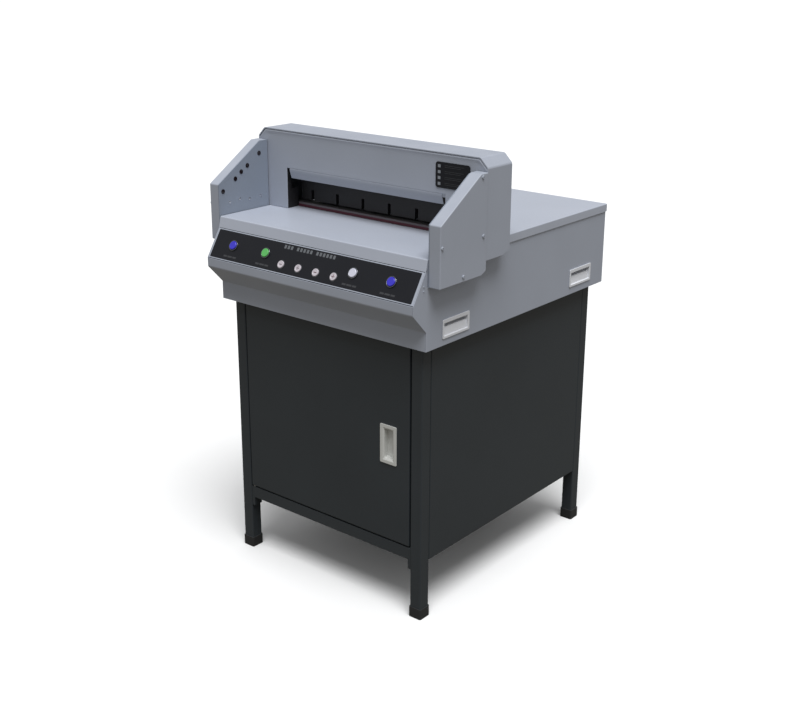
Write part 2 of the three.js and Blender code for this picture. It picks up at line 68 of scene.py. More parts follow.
colours = {
    "headPaint": (0.385, 0.418, 0.490),
    "tablePaint": (0.440, 0.475, 0.555),
    "cabinetPaint": (0.030, 0.0375, 0.0445),
    "blackPaint": (0.014, 0.0135, 0.015),
    "groundSteel": (0.42, 0.43, 0.45),
    "turnedSteel": (0.42, 0.43, 0.45),
    "machinedSteel": (0.16, 0.165, 0.175),
    "panelFilm": (0.0095, 0.0105, 0.0145),
    "blackPlastic": (0.02, 0.021, 0.023),
    "greyPlastic": (0.74, 0.76, 0.81),
    "pullPlastic": (0.62, 0.63, 0.61),
    # light curtain plates: the head paint made darker and bluer, painted shade for the guards'
    # inner faces
    "curtainShadedPaint": (0.27, 0.31, 0.38),
    "stickPlastic": (0.080, 0.010, 0.024),
    "scuffedStick": (0.130, 0.115, 0.125),
    "blueCap": (0.038, 0.031, 0.56),
    "greenCap": (0.105, 0.47, 0.115),
    "whiteCap": (0.62, 0.63, 0.74),
    "keyCapPlastic": (0.56, 0.52, 0.57),
    "bedIron": (0.080, 0.078, 0.080),
    "chromeTrim": (0.72, 0.73, 0.75),
    "bezelMetal": (0.24, 0.25, 0.27),
    "titleInk": (0.13, 0.14, 0.155),
    "faintInk": (0.042, 0.044, 0.050),
    "iconInk": (0.26, 0.28, 0.31),
    "redInk": (0.24, 0.10, 0.12),
    "lensPlastic": (0.012, 0.006, 0.008),
    "floor": (0.93, 0.935, 0.94),
    "floorBounce": (0.165, 0.151, 0.126),
}


# small tools for shaping by hand
def alone(piece):
    if bpy.context.object and bpy.context.object.mode != "OBJECT":
        bpy.ops.object.mode_set(mode="OBJECT")
    bpy.ops.object.select_all(action="DESELECT")
    piece.select_set(True)
    bpy.context.view_layer.objects.active = piece


def openEdit(piece):
    alone(piece)
    bpy.ops.object.mode_set(mode="EDIT")


def closeEdit():
    bpy.ops.object.mode_set(mode="OBJECT")


def newPiece(name):
    piece = bpy.context.object
    piece.name = name
    alone(piece)
    bpy.ops.object.transform_apply(location=True, rotation=True, scale=True)
    return piece


def clearAll():
    if bpy.context.object and bpy.context.object.mode != "OBJECT":
        bpy.ops.object.mode_set(mode="OBJECT")
    bpy.ops.object.select_all(action="DESELECT")


def freshPick(piece, kind):
    bpy.ops.mesh.select_mode(type=kind)
    bpy.ops.mesh.select_all(action="DESELECT")
    return bmesh.from_edit_mesh(piece.data)


def pickFaces(piece, test):
    mesh = freshPick(piece, "FACE")
    for face in mesh.faces:
        if test(face.calc_center_median(), face.normal):
            face.select_set(True)
    bmesh.update_edit_mesh(piece.data)


def pickEdges(piece, test):
    mesh = freshPick(piece, "EDGE")
    for edge in mesh.edges:
        a, b = (corner.co for corner in edge.verts)
        if test((a + b) / 2, (b - a).normalized()):
            edge.select_set(True)
    bmesh.update_edit_mesh(piece.data)


def extrudeBy(move):
    bpy.ops.mesh.extrude_region_move(TRANSFORM_OT_translate={"value": move})


def everywhere(place, normal):
    return True


def cutAt(piece, place, normal, where=everywhere):
    pickFaces(piece, where)
    bpy.ops.mesh.bisect(plane_co=place, plane_no=normal)


def cutAcross(piece, axis, value, where=everywhere):
    place, normal = Vector((0, 0, 0)), Vector((0, 0, 0))
    place[axis], normal[axis] = value, 1
    cutAt(piece, place, normal, where)


def removeFaces(piece, test):
    pickFaces(piece, test)
    bpy.ops.mesh.delete(type="FACE")


# a rectangular hole through flat faces, spanning two of the axes
def cutWindow(piece, axes, low, high, where=everywhere):
    first, second = axes
    band = lambda p, n: where(p, n) and low[0] < p[first] < high[0]
    for value in (low[0], high[0]):
        cutAcross(piece, first, value, where)
    for value in (low[1], high[1]):
        cutAcross(piece, second, value, band)
    removeFaces(piece, lambda p, n: band(p, n) and low[1] < p[second] < high[1])


def insetBy(thickness, depth=0.0):
    bpy.ops.mesh.inset(thickness=thickness, depth=depth)


def shiftBy(move):
    bpy.ops.transform.translate(value=move)


# cuts the picked faces along a plane and removes those on the normal's side
def trimBeyond(piece, place, normal, where=everywhere):
    cutAt(piece, place, normal, where)
    start, way = Vector(place), Vector(normal)
    removeFaces(piece, lambda p, n: where(p, n) and (p - start).dot(way) > 0)


def faceOutwards():
    bpy.ops.mesh.select_all(action="SELECT")
    bpy.ops.mesh.normals_make_consistent(inside=False)


def flatSheet(name, low, high, facing=1):
    low, high = Vector(low), Vector(high)
    size = high - low
    flat = min(range(3), key=lambda i: abs(size[i]))
    turn = ((0, math.pi / 2, 0), (math.pi / 2, 0, 0), (0, 0, 0))[flat]
    clearAll()
    bpy.ops.mesh.primitive_plane_add(size=1, location=(low + high) / 2, rotation=turn)
    spans = ((size.z, size.y), (size.x, size.z), (size.x, size.y))[flat]
    bpy.context.object.scale = (spans[0], spans[1], 1)
    piece = newPiece(name)
    if facing < 0:
        openEdit(piece)
        bpy.ops.mesh.select_all(action="SELECT")
        bpy.ops.mesh.flip_normals()
        closeEdit()
    return piece


def block(name, low, high):
    low, high = Vector(low), Vector(high)
    clearAll()
    bpy.ops.mesh.primitive_cube_add(size=1, location=(low + high) / 2)
    bpy.context.object.scale = high - low
    return newPiece(name)


def disc(name, place, radius, depth, turn=(0, 0, 0), sides=32):
    clearAll()
    bpy.ops.mesh.primitive_cylinder_add(
        radius=radius, depth=depth, vertices=sides, location=place, rotation=turn)
    return newPiece(name)


def applyModifier(piece, kind, **values):
    alone(piece)
    modifier = piece.modifiers.new(kind.title(), kind)
    for key, value in values.items():
        setattr(modifier, key, value)
    bpy.ops.object.modifier_apply(modifier=modifier.name)


def thicken(piece, amount):
    applyModifier(piece, "SOLIDIFY", thickness=amount, offset=-1, use_even_offset=True)


def soften(piece, width=0.0005, segments=2, angle=28):
    applyModifier(piece, "BEVEL", width=width, segments=segments, limit_method="ANGLE",
                  angle_limit=math.radians(angle), use_clamp_overlap=True)
    shade(piece)


# smooth over the rounded edges while the broad faces stay flat
def shade(piece, angle=38):
    alone(piece)
    bpy.ops.object.shade_smooth_by_angle(angle=math.radians(angle))
    applyModifier(piece, "WEIGHTED_NORMAL", weight=100, keep_sharp=True)


def subtract(piece, cutter):
    applyModifier(piece, "BOOLEAN", operation="DIFFERENCE", solver="EXACT", object=cutter)
    bpy.data.objects.remove(cutter)


def roundEdges(piece, test, radius, segments=3):
    pickEdges(piece, test)
    bpy.ops.mesh.bevel(offset=radius, segments=segments, affect="EDGES", profile=0.5)


def outwards(piece):
    openEdit(piece)
    faceOutwards()
    closeEdit()


# a printed mark: a flat bar raised a little
def printedBar(name, low, high, rise):
    piece = flatSheet(name, low, high)
    openEdit(piece)
    pickFaces(piece, everywhere)
    extrudeBy(rise)
    closeEdit()
    outwards(piece)
    return piece


# gives a folded skin its thickness and rounded edges, and seats it
def finishSheet(piece, sheet, material, node, width=0.0005, segments=2):
    closeEdit()
    thicken(piece, sheet)
    soften(piece, width, segments)
    seat(piece, material, node)


def joined(name, pieces):
    pieces[0].name = name
    if len(pieces) == 1:
        return pieces[0]
    alone(pieces[0])
    for piece in pieces[1:]:
        piece.select_set(True)
    bpy.ops.object.join()
    return pieces[0]


def copyOf(piece, name):
    twin = piece.copy()
    twin.data = piece.data.copy()
    twin.name = name
    bpy.context.scene.collection.objects.link(twin)
    return twin


def movedCopy(piece, name, matrix):
    twin = copyOf(piece, name)
    twin.data.transform(matrix)
    if matrix.determinant() < 0:
        twin.data.flip_normals()
    return twin


def seat(piece, material, *nodes, body="frame"):
    piece.data.materials.clear()
    piece.data.materials.append(material)
    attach(piece, body)
    if nodes:
        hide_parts(*nodes)


# shader groups
def newGroup(name, inputs, outputs):
    group = bpy.data.node_groups.new(name, "ShaderNodeTree")
    for label, kind, value in inputs:
        socket = group.interface.new_socket(name=label, in_out="INPUT", socket_type=kind)
        socket.default_value = value
    for label, kind in outputs:
        group.interface.new_socket(name=label, in_out="OUTPUT", socket_type=kind)
    given, out = (group.nodes.new("NodeGroup" + end) for end in ("Input", "Output"))
    return group, given.outputs, out.inputs


def addNode(tree, kind, **values):
    node = tree.nodes.new("ShaderNode" + kind)
    for key, value in values.items():
        if key in node.inputs:
            node.inputs[key].default_value = value
        else:
            setattr(node, key, value)
    return node


# links a socket, or sets a plain value
def feed(tree, value, target):
    if isinstance(value, bpy.types.NodeSocket):
        tree.links.new(value, target)
    else:
        target.default_value = value


def maths(tree, operation, *values):
    node = addNode(tree, "Math", operation=operation)
    for value, target in zip(values, node.inputs):
        feed(tree, value, target)
    return node.outputs[0]


def blend(tree, share, first, second):
    node = addNode(tree, "Mix", data_type="RGBA")
    feed(tree, share, node.inputs["Factor"])
    feed(tree, first, node.inputs["A"])
    feed(tree, second, node.inputs["B"])
    return node.outputs["Result"]


def ownPlace(tree):
    return addNode(tree, "TexCoord").outputs["Object"]


def noiseAt(tree, vector, scale, detail=2.0, rough=0.5):
    node = addNode(tree, "TexNoise", Detail=detail, Roughness=rough)
    feed(tree, scale, node.inputs["Scale"])
    feed(tree, vector, node.inputs["Vector"])
    return node.outputs["Fac"]


def ramp(tree, value, low, high, toLow=0.0, toHigh=1.0):
    node = addNode(tree, "MapRange")
    labels = ("From Min", "From Max", "To Min", "To Max")
    for label, number in zip(labels, (low, high, toLow, toHigh)):
        node.inputs[label].default_value = number
    feed(tree, value, node.inputs["Value"])
    return node.outputs["Result"]


finishOutputs = [("Color", "NodeSocketColor"), ("Roughness", "NodeSocketFloat"),
                 ("Height", "NodeSocketFloat")]
paintLook = {"cloudScale": 5.0, "cloudRange": (0.35, 0.7), "cloudShare": 0.55, "speckScale": 220.0,
             "speckLift": 0.10}


def sprayedPaintGroup():
    group, given, out = newGroup("sprayedPaint", [
        ("Color", "NodeSocketColor", (0.5, 0.5, 0.5, 1)),
        ("Cloud", "NodeSocketColor", (0.4, 0.4, 0.4, 1)),
        ("Grain Scale", "NodeSocketFloat", 700.0),
        ("Base Roughness", "NodeSocketFloat", 0.45),
    ], finishOutputs)
    place = ownPlace(group)
    noise = noiseAt(group, place, paintLook["cloudScale"], 3.0)
    cloud = ramp(group, noise, *paintLook["cloudRange"])
    share = maths(group, "MULTIPLY", cloud, paintLook["cloudShare"])
    feed(group, blend(group, share, given["Color"], given["Cloud"]), out["Color"])
    speck = noiseAt(group, place, paintLook["speckScale"], 1.0)
    lift = maths(group, "MULTIPLY_ADD", speck, paintLook["speckLift"], given["Base Roughness"])
    feed(group, lift, out["Roughness"])
    feed(group, noiseAt(group, place, given["Grain Scale"]), out["Height"])
    return group


# two masks and the amount, multiplied
def putMask(group, given, out, first, second):
    both = maths(group, "MULTIPLY", first, second)
    feed(group, maths(group, "MULTIPLY", both, given["Amount"]), out["Mask"])


wearLook = {"edgeRange": (0.995, 0.85), "patchScale": 60.0, "patchRange": (0.38, 0.62)}


def edgeWearGroup():
    group, given, out = newGroup("edgeWear", [
        ("Radius", "NodeSocketFloat", 0.0012),
        ("Amount", "NodeSocketFloat", 0.6),
    ], [("Mask", "NodeSocketFloat")])
    bevel = addNode(group, "Bevel", samples=4)
    feed(group, given["Radius"], bevel.inputs["Radius"])
    turn = addNode(group, "VectorMath", operation="DOT_PRODUCT")
    feed(group, bevel.outputs["Normal"], turn.inputs[0])
    feed(group, addNode(group, "NewGeometry").outputs["Normal"], turn.inputs[1])
    edge = ramp(group, turn.outputs["Value"], *wearLook["edgeRange"])
    noise = noiseAt(group, ownPlace(group), wearLook["patchScale"], 4.0, 0.6)
    putMask(group, given, out, edge, ramp(group, noise, *wearLook["patchRange"]))
    return group


dustLook = {"levelRange": (0.4, 1.0), "patchScale": 14.0, "patchRange": (0.4, 0.75)}


def settledDustGroup():
    group, given, out = newGroup("settledDust", [("Amount", "NodeSocketFloat", 0.2)],
                                 [("Mask", "NodeSocketFloat")])
    split = addNode(group, "SeparateXYZ")
    feed(group, addNode(group, "NewGeometry").outputs["Normal"], split.inputs[0])
    level = ramp(group, split.outputs["Z"], *dustLook["levelRange"])
    noise = noiseAt(group, ownPlace(group), dustLook["patchScale"], 5.0, 0.65)
    putMask(group, given, out, level, ramp(group, noise, *dustLook["patchRange"]))
    return group


grindLook = {"lineRange": (0.2, 0.8), "toneRange": (0.82, 1.15), "lineLift": 0.22}


def grindLinesGroup():
    group, given, out = newGroup("grindLines", [
        ("Color", "NodeSocketColor", (0.5, 0.5, 0.5, 1)),
        ("Stretch", "NodeSocketVector", (8.0, 600.0, 600.0)),
        ("Base Roughness", "NodeSocketFloat", 0.35),
    ], finishOutputs)
    stretch = addNode(group, "VectorMath", operation="MULTIPLY")
    feed(group, ownPlace(group), stretch.inputs[0])
    feed(group, given["Stretch"], stretch.inputs[1])
    lines = noiseAt(group, stretch.outputs[0], 1.0, 3.0, 0.6)
    tone = addNode(group, "HueSaturation")
    value = ramp(group, lines, *grindLook["lineRange"], *grindLook["toneRange"])
    feed(group, value, tone.inputs["Value"])
    feed(group, given["Color"], tone.inputs["Color"])
    feed(group, tone.outputs["Color"], out["Color"])
    lift = maths(group, "MULTIPLY_ADD", lines, grindLook["lineLift"], given["Base Roughness"])
    feed(group, lift, out["Roughness"])
    feed(group, lines, out["Height"])
    return group


sprayedPaint = sprayedPaintGroup()
edgeWear = edgeWearGroup()
settledDust = settledDustGroup()
grindLines = grindLinesGroup()


def groupNode(tree, group, **values):
    node = tree.nodes.new("ShaderNodeGroup")
    node.node_tree = group
    for key, value in values.items():
        node.inputs[key.replace("_", " ")].default_value = value
    return node.outputs


def bumpFrom(tree, height, strength, distance):
    bump = addNode(tree, "Bump", Strength=strength, Distance=distance)
    feed(tree, height, bump.inputs["Height"])
    return bump.outputs["Normal"]


def rgba(colour, gain=1.0, lift=0.0):
    return (*(min(1, channel * gain + lift) for channel in colour), 1)


def newMaterial(name):
    material = bpy.data.materials.new(name)
    material.use_nodes = True
    tree = material.node_tree
    return material, tree, tree.nodes["Principled BSDF"].inputs


# sprayed or moulded skin, with a worn edge and some dust on what faces up
def skin(name, roughness=0.45, grain=700.0, bump=0.12, wear=0.35, worn=None, dust=0.1,
         dustColour=(0.55, 0.55, 0.56), cloud=0.9, coat=0.0, specular=0.5):
    material, tree, shader = newMaterial(name)
    colour = colours[name]
    paint = groupNode(tree, sprayedPaint, Color=rgba(colour), Cloud=rgba(colour, cloud),
                      Grain_Scale=grain, Base_Roughness=roughness)
    wornColour = rgba(worn) if worn else rgba(colour, 1.6, 0.02)
    base = blend(tree, groupNode(tree, edgeWear, Amount=wear)["Mask"], paint["Color"], wornColour)
    base = blend(tree, groupNode(tree, settledDust, Amount=dust)["Mask"], base, rgba(dustColour))
    feed(tree, base, shader["Base Color"])
    feed(tree, paint["Roughness"], shader["Roughness"])
    feed(tree, bumpFrom(tree, paint["Height"], bump, 0.0004), shader["Normal"])
    shader["Coat Weight"].default_value = coat
    shader["Coat Roughness"].default_value = 0.18
    shader["Specular IOR Level"].default_value = specular
    return material


def groundMetal(name, stretch, roughness=0.3, bump=0.15):
    material, tree, shader = newMaterial(name)
    colour = colours[name]
    lines = groupNode(tree, grindLines, Color=rgba(colour), Stretch=stretch,
                      Base_Roughness=roughness)
    worn = groupNode(tree, edgeWear, Amount=0.5, Radius=0.0008)["Mask"]
    feed(tree, blend(tree, worn, lines["Color"], rgba(colour, 1.5)), shader["Base Color"])
    feed(tree, lines["Roughness"], shader["Roughness"])
    feed(tree, bumpFrom(tree, lines["Height"], bump, 0.0002), shader["Normal"])
    shader["Metallic"].default_value = 1.0
    return material


headPaint = skin("headPaint", 0.42, 650, 0.10, 0.25, dust=0.2, dustColour=(0.64, 0.66, 0.72))
tablePaint = skin("tablePaint", 0.36, 650, 0.08, 0.30, dust=0.06)
cabinetPaint = skin("cabinetPaint", 0.44, 420, 0.22, 0.35, worn=(0.10, 0.105, 0.11), dust=0.05,
                    cloud=0.8)
blackPaint = skin("blackPaint", 0.5, 500, 0.2, 0.5, worn=(0.10, 0.10, 0.10), dust=0.06)
# the head paint's finish in a darker, bluer tone: painted shade on the guards' inner faces
curtainShadedPaint = skin("curtainShadedPaint", 0.42, 650, 0.10, 0.25, dust=0.05)
bedIron = skin("bedIron", 0.62, 300, 0.25, 0.3, worn=(0.2, 0.2, 0.2), dust=0.05)
panelFilm = skin("panelFilm", 0.38, 1400, 0.05, 0.1, dust=0.012, specular=0.3)
blackPlastic = skin("blackPlastic", 0.5, 900, 0.2, 0.3, dust=0.12)
greyPlastic = skin("greyPlastic", 0.42, 1100, 0.12, 0.2, dust=0.08)
pullPlastic = skin("pullPlastic", 0.42, 1100, 0.12, 0.2, dust=0.05)
stickPlastic = skin("stickPlastic", 0.5, 800, 0.2, 0.4, worn=(0.3, 0.08, 0.1), dust=0.1)
lensPlastic = skin("lensPlastic", 0.12, 1500, 0.02, 0.1, dust=0.02, coat=0.6)
blueCap = skin("blueCap", 0.25, 1500, 0.03, 0.3, dust=0.04, coat=0.4)
greenCap = skin("greenCap", 0.25, 1500, 0.03, 0.3, dust=0.04, coat=0.4)
whiteCap = skin("whiteCap", 0.28, 1500, 0.03, 0.1, dust=0.04, coat=0.4)
keyCapPlastic = skin("keyCapPlastic", 0.32, 1500, 0.03, 0.1, dust=0.04, coat=0.3)
titleInk, faintInk, iconInk, redInk = (skin(name, 0.5, 2500, 0.02, 0.0, dust=0.0) for name in
                                       ("titleInk", "faintInk", "iconInk", "redInk"))
chromeTrim = groundMetal("chromeTrim", (900, 900, 60), 0.08, 0.03)
bezelMetal = groundMetal("bezelMetal", (900, 900, 60), 0.10, 0.03)
groundSteel = groundMetal("groundSteel", (900, 30, 60), 0.28)
turnedSteel = groundMetal("turnedSteel", (60, 900, 60), 0.25)
machinedSteel = groundMetal("machinedSteel", (40, 500, 500), 0.38)

stick = {"scuffFrom": 0.8468, "scuffFade": 0.0012, "scuffRagged": 0.0016, "scuffScale": 180.0,
         "groove": 0.002, "grooveDeep": 0.0006}


# the stick is pale and scuffed where the knife lands
def scuffStick(material):
    tree = material.node_tree
    target = tree.nodes["Principled BSDF"].inputs["Base Color"]
    before = target.links[0].from_socket
    place = ownPlace(tree)
    split = addNode(tree, "SeparateXYZ")
    feed(tree, place, split.inputs[0])
    noise = noiseAt(tree, place, stick["scuffScale"], 4.0, 0.7)
    height = maths(tree, "MULTIPLY_ADD", noise, stick["scuffRagged"], split.outputs["Z"])
    share = ramp(tree, height, stick["scuffFrom"], stick["scuffFrom"] + stick["scuffFade"])
    feed(tree, blend(tree, share, before, rgba(colours["scuffedStick"])), target)


scuffStick(stickPlastic)
print("materials made")


# CAD nodes that keep their own shape
keptNodes = {
    "base_plate": cabinetPaint, "cabinet_floor": cabinetPaint, "bed": bedIron, "clamp": blackPaint,
    "clamp_screw": turnedSteel, "knife_blade": groundSteel, "knife_carrier": machinedSteel,
    "pull_rod": machinedSteel, "crank_disc": machinedSteel, "knife_gearmotor": machinedSteel,
    "gantry_frame": machinedSteel, "backgauge_fence": groundSteel,
    "backgauge_carriage": machinedSteel,
    "backgauge_screw": turnedSteel, "backgauge_motor": blackPaint,
    "throat_cheek_left": blackPaint, "throat_cheek_right": blackPaint,
    "light_curtain_left": curtainShadedPaint, "light_curtain_right": curtainShadedPaint,
}
for nodeName, nodeMaterial in keptNodes.items():
    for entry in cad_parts[nodeName].material_slots:
        entry.material = nodeMaterial


# head housing
fascia = {"kickZ": 0.686, "noseZ": 0.730, "noseOut": 0.042, "sheet": 0.0024, "bend": 0.003}


def makeFascia():
    low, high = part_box("front_fascia")
    frontY, kickZ, noseZ = low.y + fascia["noseOut"], fascia["kickZ"], fascia["noseZ"]
    piece = flatSheet("front_fascia_skin", (low.x, frontY, low.z), (high.x, frontY, kickZ))
    openEdit(piece)
    pickEdges(piece, lambda p, d: p.z > kickZ - 1e-4)
    extrudeBy((0, -fascia["noseOut"], noseZ - kickZ))
    extrudeBy((0, 0, high.z - noseZ))
    roundEdges(piece, lambda p, d: abs(d.x) > 0.9 and kickZ - 1e-4 < p.z < noseZ + 1e-4,
               fascia["bend"], 4)
    finishSheet(piece, fascia["sheet"], headPaint, "front_fascia")


housing = {"wall": 0.002, "slopeTop": (-0.003, 0.815), "noseHigh": 0.752, "shoulder": 0.0075,
           "shoulderFall": (-0.021, 0.0055), "handleLap": 0.0036, "inletLap": 0.0036,
           "panelSheet": 0.0024}


def makeHousingSide(tag, side):
    low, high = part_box("housing_side_" + tag)
    outer = high.x if side > 0 else low.x
    frontY = low.y + fascia["noseOut"]
    piece = flatSheet("housing_wall_" + tag, (outer, low.y, low.z), (outer, high.y, high.z), side)
    openEdit(piece)
    cutAcross(piece, 1, frontY)
    before = lambda p, n: p.y < frontY
    rise = fascia["noseZ"] - fascia["kickZ"]
    trimBeyond(piece, (0, frontY, fascia["kickZ"]), (0, -rise, -fascia["noseOut"]), before)
    run = frontY + housing["slopeTop"][0] - low.y
    climb = housing["slopeTop"][1] - housing["noseHigh"]
    trimBeyond(piece, (0, low.y, housing["noseHigh"]), (0, -climb, run), before)
    trimBeyond(piece, (0, frontY + housing["shoulder"], high.z), (0, *housing["shoulderFall"]),
               lambda p, n: p.y > frontY)
    for row in ("front", "rear"):
        a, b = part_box("carry_handle_%s_%s" % (row, tag))
        lap = housing["handleLap"]
        cutWindow(piece, (1, 2), (a.y + lap, a.z + lap), (b.y - lap, b.z - lap))
    finishSheet(piece, housing["wall"], headPaint, "housing_side_" + tag)


def makeRearPanel():
    low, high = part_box("rear_panel")
    a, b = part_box("power_inlet")
    lap = housing["inletLap"]
    piece = flatSheet("rear_panel_skin", (low.x, high.y, low.z), (high.x, high.y, high.z), -1)
    openEdit(piece)
    cutWindow(piece, (0, 2), (a.x + lap, a.z + lap), (b.x - lap, b.z - lap))
    finishSheet(piece, housing["panelSheet"], headPaint, "rear_panel")


tables = {"lipOut": 0.006, "bend": 0.0022, "sheet": 0.003, "lidSheet": 0.002,
          "notchX": (0.228, 0.272), "notchDeep": 0.0218,
          "slotHalf": 0.0085, "slotFront": -0.0745, "slotStop": 0.057}


def makeFrontTable():
    low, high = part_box("front_table")
    frontY = low.y + tables["lipOut"]
    piece = flatSheet("front_table_top", (low.x, frontY, high.z), (high.x, high.y, high.z))
    openEdit(piece)
    pickEdges(piece, lambda p, d: p.y < frontY + 1e-4)
    extrudeBy((0, -tables["lipOut"], low.z - high.z))
    roundEdges(piece, lambda p, d: abs(d.x) > 0.9 and abs(p.y - frontY) < 1e-4, tables["bend"], 4)
    (left, right), back = tables["notchX"], high.y - tables["notchDeep"]
    cutAcross(piece, 0, left)
    cutAcross(piece, 0, right)
    band = lambda p, n: left < p.x < right
    cutAcross(piece, 1, back, band)
    removeFaces(piece, lambda p, n: band(p, n) and p.y > back)
    finishSheet(piece, tables["sheet"], tablePaint, "front_table", 0.0006)


def makeRearTable():
    low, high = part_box("rear_table")
    piece = flatSheet("rear_table_lid", (low.x, low.y, high.z), (high.x, high.y, high.z))
    openEdit(piece)
    pickEdges(piece, lambda p, d: p.y > low.y + 1e-4)
    extrudeBy((0, 0, low.z - high.z))
    roundEdges(piece, lambda p, d: p.y > low.y + 1e-4 and p.z > low.z + 1e-4
               and (abs(d.z) > 0.9 or p.z > high.z - 1e-4), tables["bend"], 4)
    half, front, back = tables["slotHalf"], tables["slotFront"], high.y - tables["slotStop"]
    cutWindow(piece, (0, 1), (-half, front), (half, back), lambda p, n: n.z > 0.9)
    finishSheet(piece, tables["lidSheet"], tablePaint, "rear_table")


makeFascia()
for tag, side in flanks:
    makeHousingSide(tag, side)
makeRearPanel()
makeFrontTable()
makeRearTable()
print("housing made")


# finger cups: carry handles and door pull, drawn facing +Z and then turned into place
cups = {
    "handle": {"rim": 0.004, "wall": 0.002, "depth": 0.022, "proud": 0.0018, "corner": 0.003,
               "mouthEdge": (0.001, 0.001), "topBand": 0.003, "plateEnd": 0.0030,
               "plateEdge": 0.0005, "plateTop": 0.0015, "plateDepth": 0.004},
    "pull": {"rim": 0.010, "wall": 0.001, "depth": 0.0135, "proud": 0.002, "corner": 0.003,
             "mouthEdge": (0.0035, 0.0022), "topBand": 0, "plateEnd": None, "floorCorner": 0.004},
}


def fingerCup(name, width, height, shape):
    rim, wall, depth, proud = shape["rim"], shape["wall"], shape["depth"], shape["proud"]
    edgeWide, edgeDeep = shape["mouthEdge"]
    piece = block(name, (-width / 2, -height / 2, 0), (width / 2, height / 2, proud))
    openEdit(piece)
    pickFaces(piece, lambda p, n: n.z < -0.9)
    insetBy(rim)
    extrudeBy((0, 0, -depth))
    pickFaces(piece, lambda p, n: n.z > 0.9)
    inner = rim + wall - edgeWide
    insetBy(inner)
    if shape["topBand"]:
        topY = height / 2 - inner
        pickEdges(piece, lambda p, d: p.z > proud - 1e-5 and abs(p.y - topY) < 1e-5
                  and abs(d.x) > 0.9)
        shiftBy((0, -shape["topBand"], 0))
        pickFaces(piece, lambda p, n: n.z > 0.9 and abs(p.x) < 1e-4 and abs(p.y) < height / 4)
    insetBy(edgeWide, -edgeDeep)
    drop = depth - wall + proud - edgeDeep
    extrudeBy((0, 0, -drop))
    onFloor = lambda p: abs(p.z + depth - wall) < 1e-4
    plateEnd = shape["plateEnd"]
    if plateEnd is None:
        roundEdges(piece, lambda p, d: abs(d.z) > 0.9 and abs(p.x) < width / 2 - rim - wall / 2,
                   shape["floorCorner"], 4)
    else:
        for cut in (plateEnd, plateEnd + shape["plateEdge"]):
            cutAcross(piece, 1, cut, lambda p, n: onFloor(p) and n.z > 0.9)
        lifts = ((rim + wall - height / 2, drop - shape["plateTop"]),
                 (plateEnd, drop - shape["plateDepth"]))
        for edgeY, lift in lifts:
            pickEdges(piece, lambda p, d: onFloor(p) and abs(p.y - edgeY) < 1e-4
                      and abs(d.x) > 0.9)
            shiftBy((0, 0, lift))
    roundEdges(piece, lambda p, d: abs(d.z) > 0.9 and abs(p.x) > width / 2 - 1e-4,
               shape["corner"], 4)
    closeEdit()
    outwards(piece)
    soften(piece, 0.0005, 3, 30)
    return piece


def makeCarryHandles():
    shape = cups["handle"]
    for tag, side in flanks:
        for row in ("front", "rear"):
            place = "%s_%s" % (row, tag)
            low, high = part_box("carry_handle_" + place)
            piece = fingerCup("carry_cup_" + place, high.y - low.y, high.z - low.z, shape)
            face = (high.x if side > 0 else low.x) - side * shape["proud"]
            turn = Matrix((
                (0, 0, side, face),
                (side, 0, 0, (low.y + high.y) / 2),
                (0, 1, 0, (low.z + high.z) / 2),
                (0, 0, 0, 1)))
            piece.data.transform(turn)
            seat(piece, greyPlastic, "carry_handle_" + place)


def makeDoorPull():
    low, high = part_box("door_pull")
    shape = cups["pull"]
    piece = fingerCup("door_pull_cup", high.x - low.x, high.z - low.z, shape)
    turn = Matrix((
        (1, 0, 0, (low.x + high.x) / 2),
        (0, 0, -1, low.y + shape["proud"]),
        (0, 1, 0, (low.z + high.z) / 2),
        (0, 0, 0, 1)))
    piece.data.transform(turn)
    seat(piece, pullPlastic, "door_pull", body="door")


makeCarryHandles()
makeDoorPull()
print("finger cups made")


# side guards
guard = {"slopeFrontZ": 0.912, "slopeTop": (0.133, 0.996), "heel": (0.143, 0.790),
         "sheet": 0.0024, "bend": 0.0022, "front": 0.0025}
guardScrews = [(0.008, 0.867), (0.147, 0.867), (0.080, 0.794), (0.141, 0.991)]
sensor = {"radius": 0.0054, "high": 0.0008, "rim": 0.0012, "well": 0.0006, "lens": 0.0022,
          "lensUp": 0.0004}
sensorSpots = [(0.0155, 0.895), (0.055, 0.919), (0.074, 0.933), (0.094, 0.945), (0.1326, 0.969)]
rivet = {"radius": 0.0032, "high": 0.0006, "rim": 0.0010, "crown": 0.0005}
rivetSpots = [(0.036, 0.867), (0.067, 0.870), (0.098, 0.866), (0.134, 0.868)]
lowerFrontY = cadBounds[0][1] + fascia["noseOut"]


def makeGuard(tag, side):
    low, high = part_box("guard_" + tag)
    outer = high.x if side > 0 else low.x
    depth = high.x - low.x
    piece = flatSheet("guard_shell_" + tag, (outer, low.y, low.z), (outer, high.y, high.z), side)
    zero = low.y - guard["front"]
    slopeFoot, (slopeY, slopeZ), (heelY, heelZ) = (
        guard["slopeFrontZ"], guard["slopeTop"], guard["heel"])
    openEdit(piece)
    trimBeyond(piece, (0, low.y, slopeFoot), (0, slopeFoot - slopeZ, slopeY - guard["front"]))
    trimBeyond(piece, (0, zero + slopeY, slopeZ), (0, slopeZ - high.z, high.y - zero - slopeY))
    trimBeyond(piece, (0, zero + heelY, low.z), (0, heelZ - low.z, -(high.y - zero - heelY)))
    pickFaces(piece, everywhere)
    extrudeBy((-side * depth, 0, 0))
    faceOutwards()
    removeFaces(piece, lambda p, n: abs(n.x) > 0.9 and abs(p.x - outer) > depth / 2)
    roundEdges(piece, lambda p, d: abs(p.x - outer) < depth * 0.6, guard["bend"], 3)
    closeEdit()
    thicken(piece, guard["sheet"])
    outwards(piece)
    soften(piece, 0.0004, 2, 40)
    seat(piece, headPaint, "guard_" + tag)


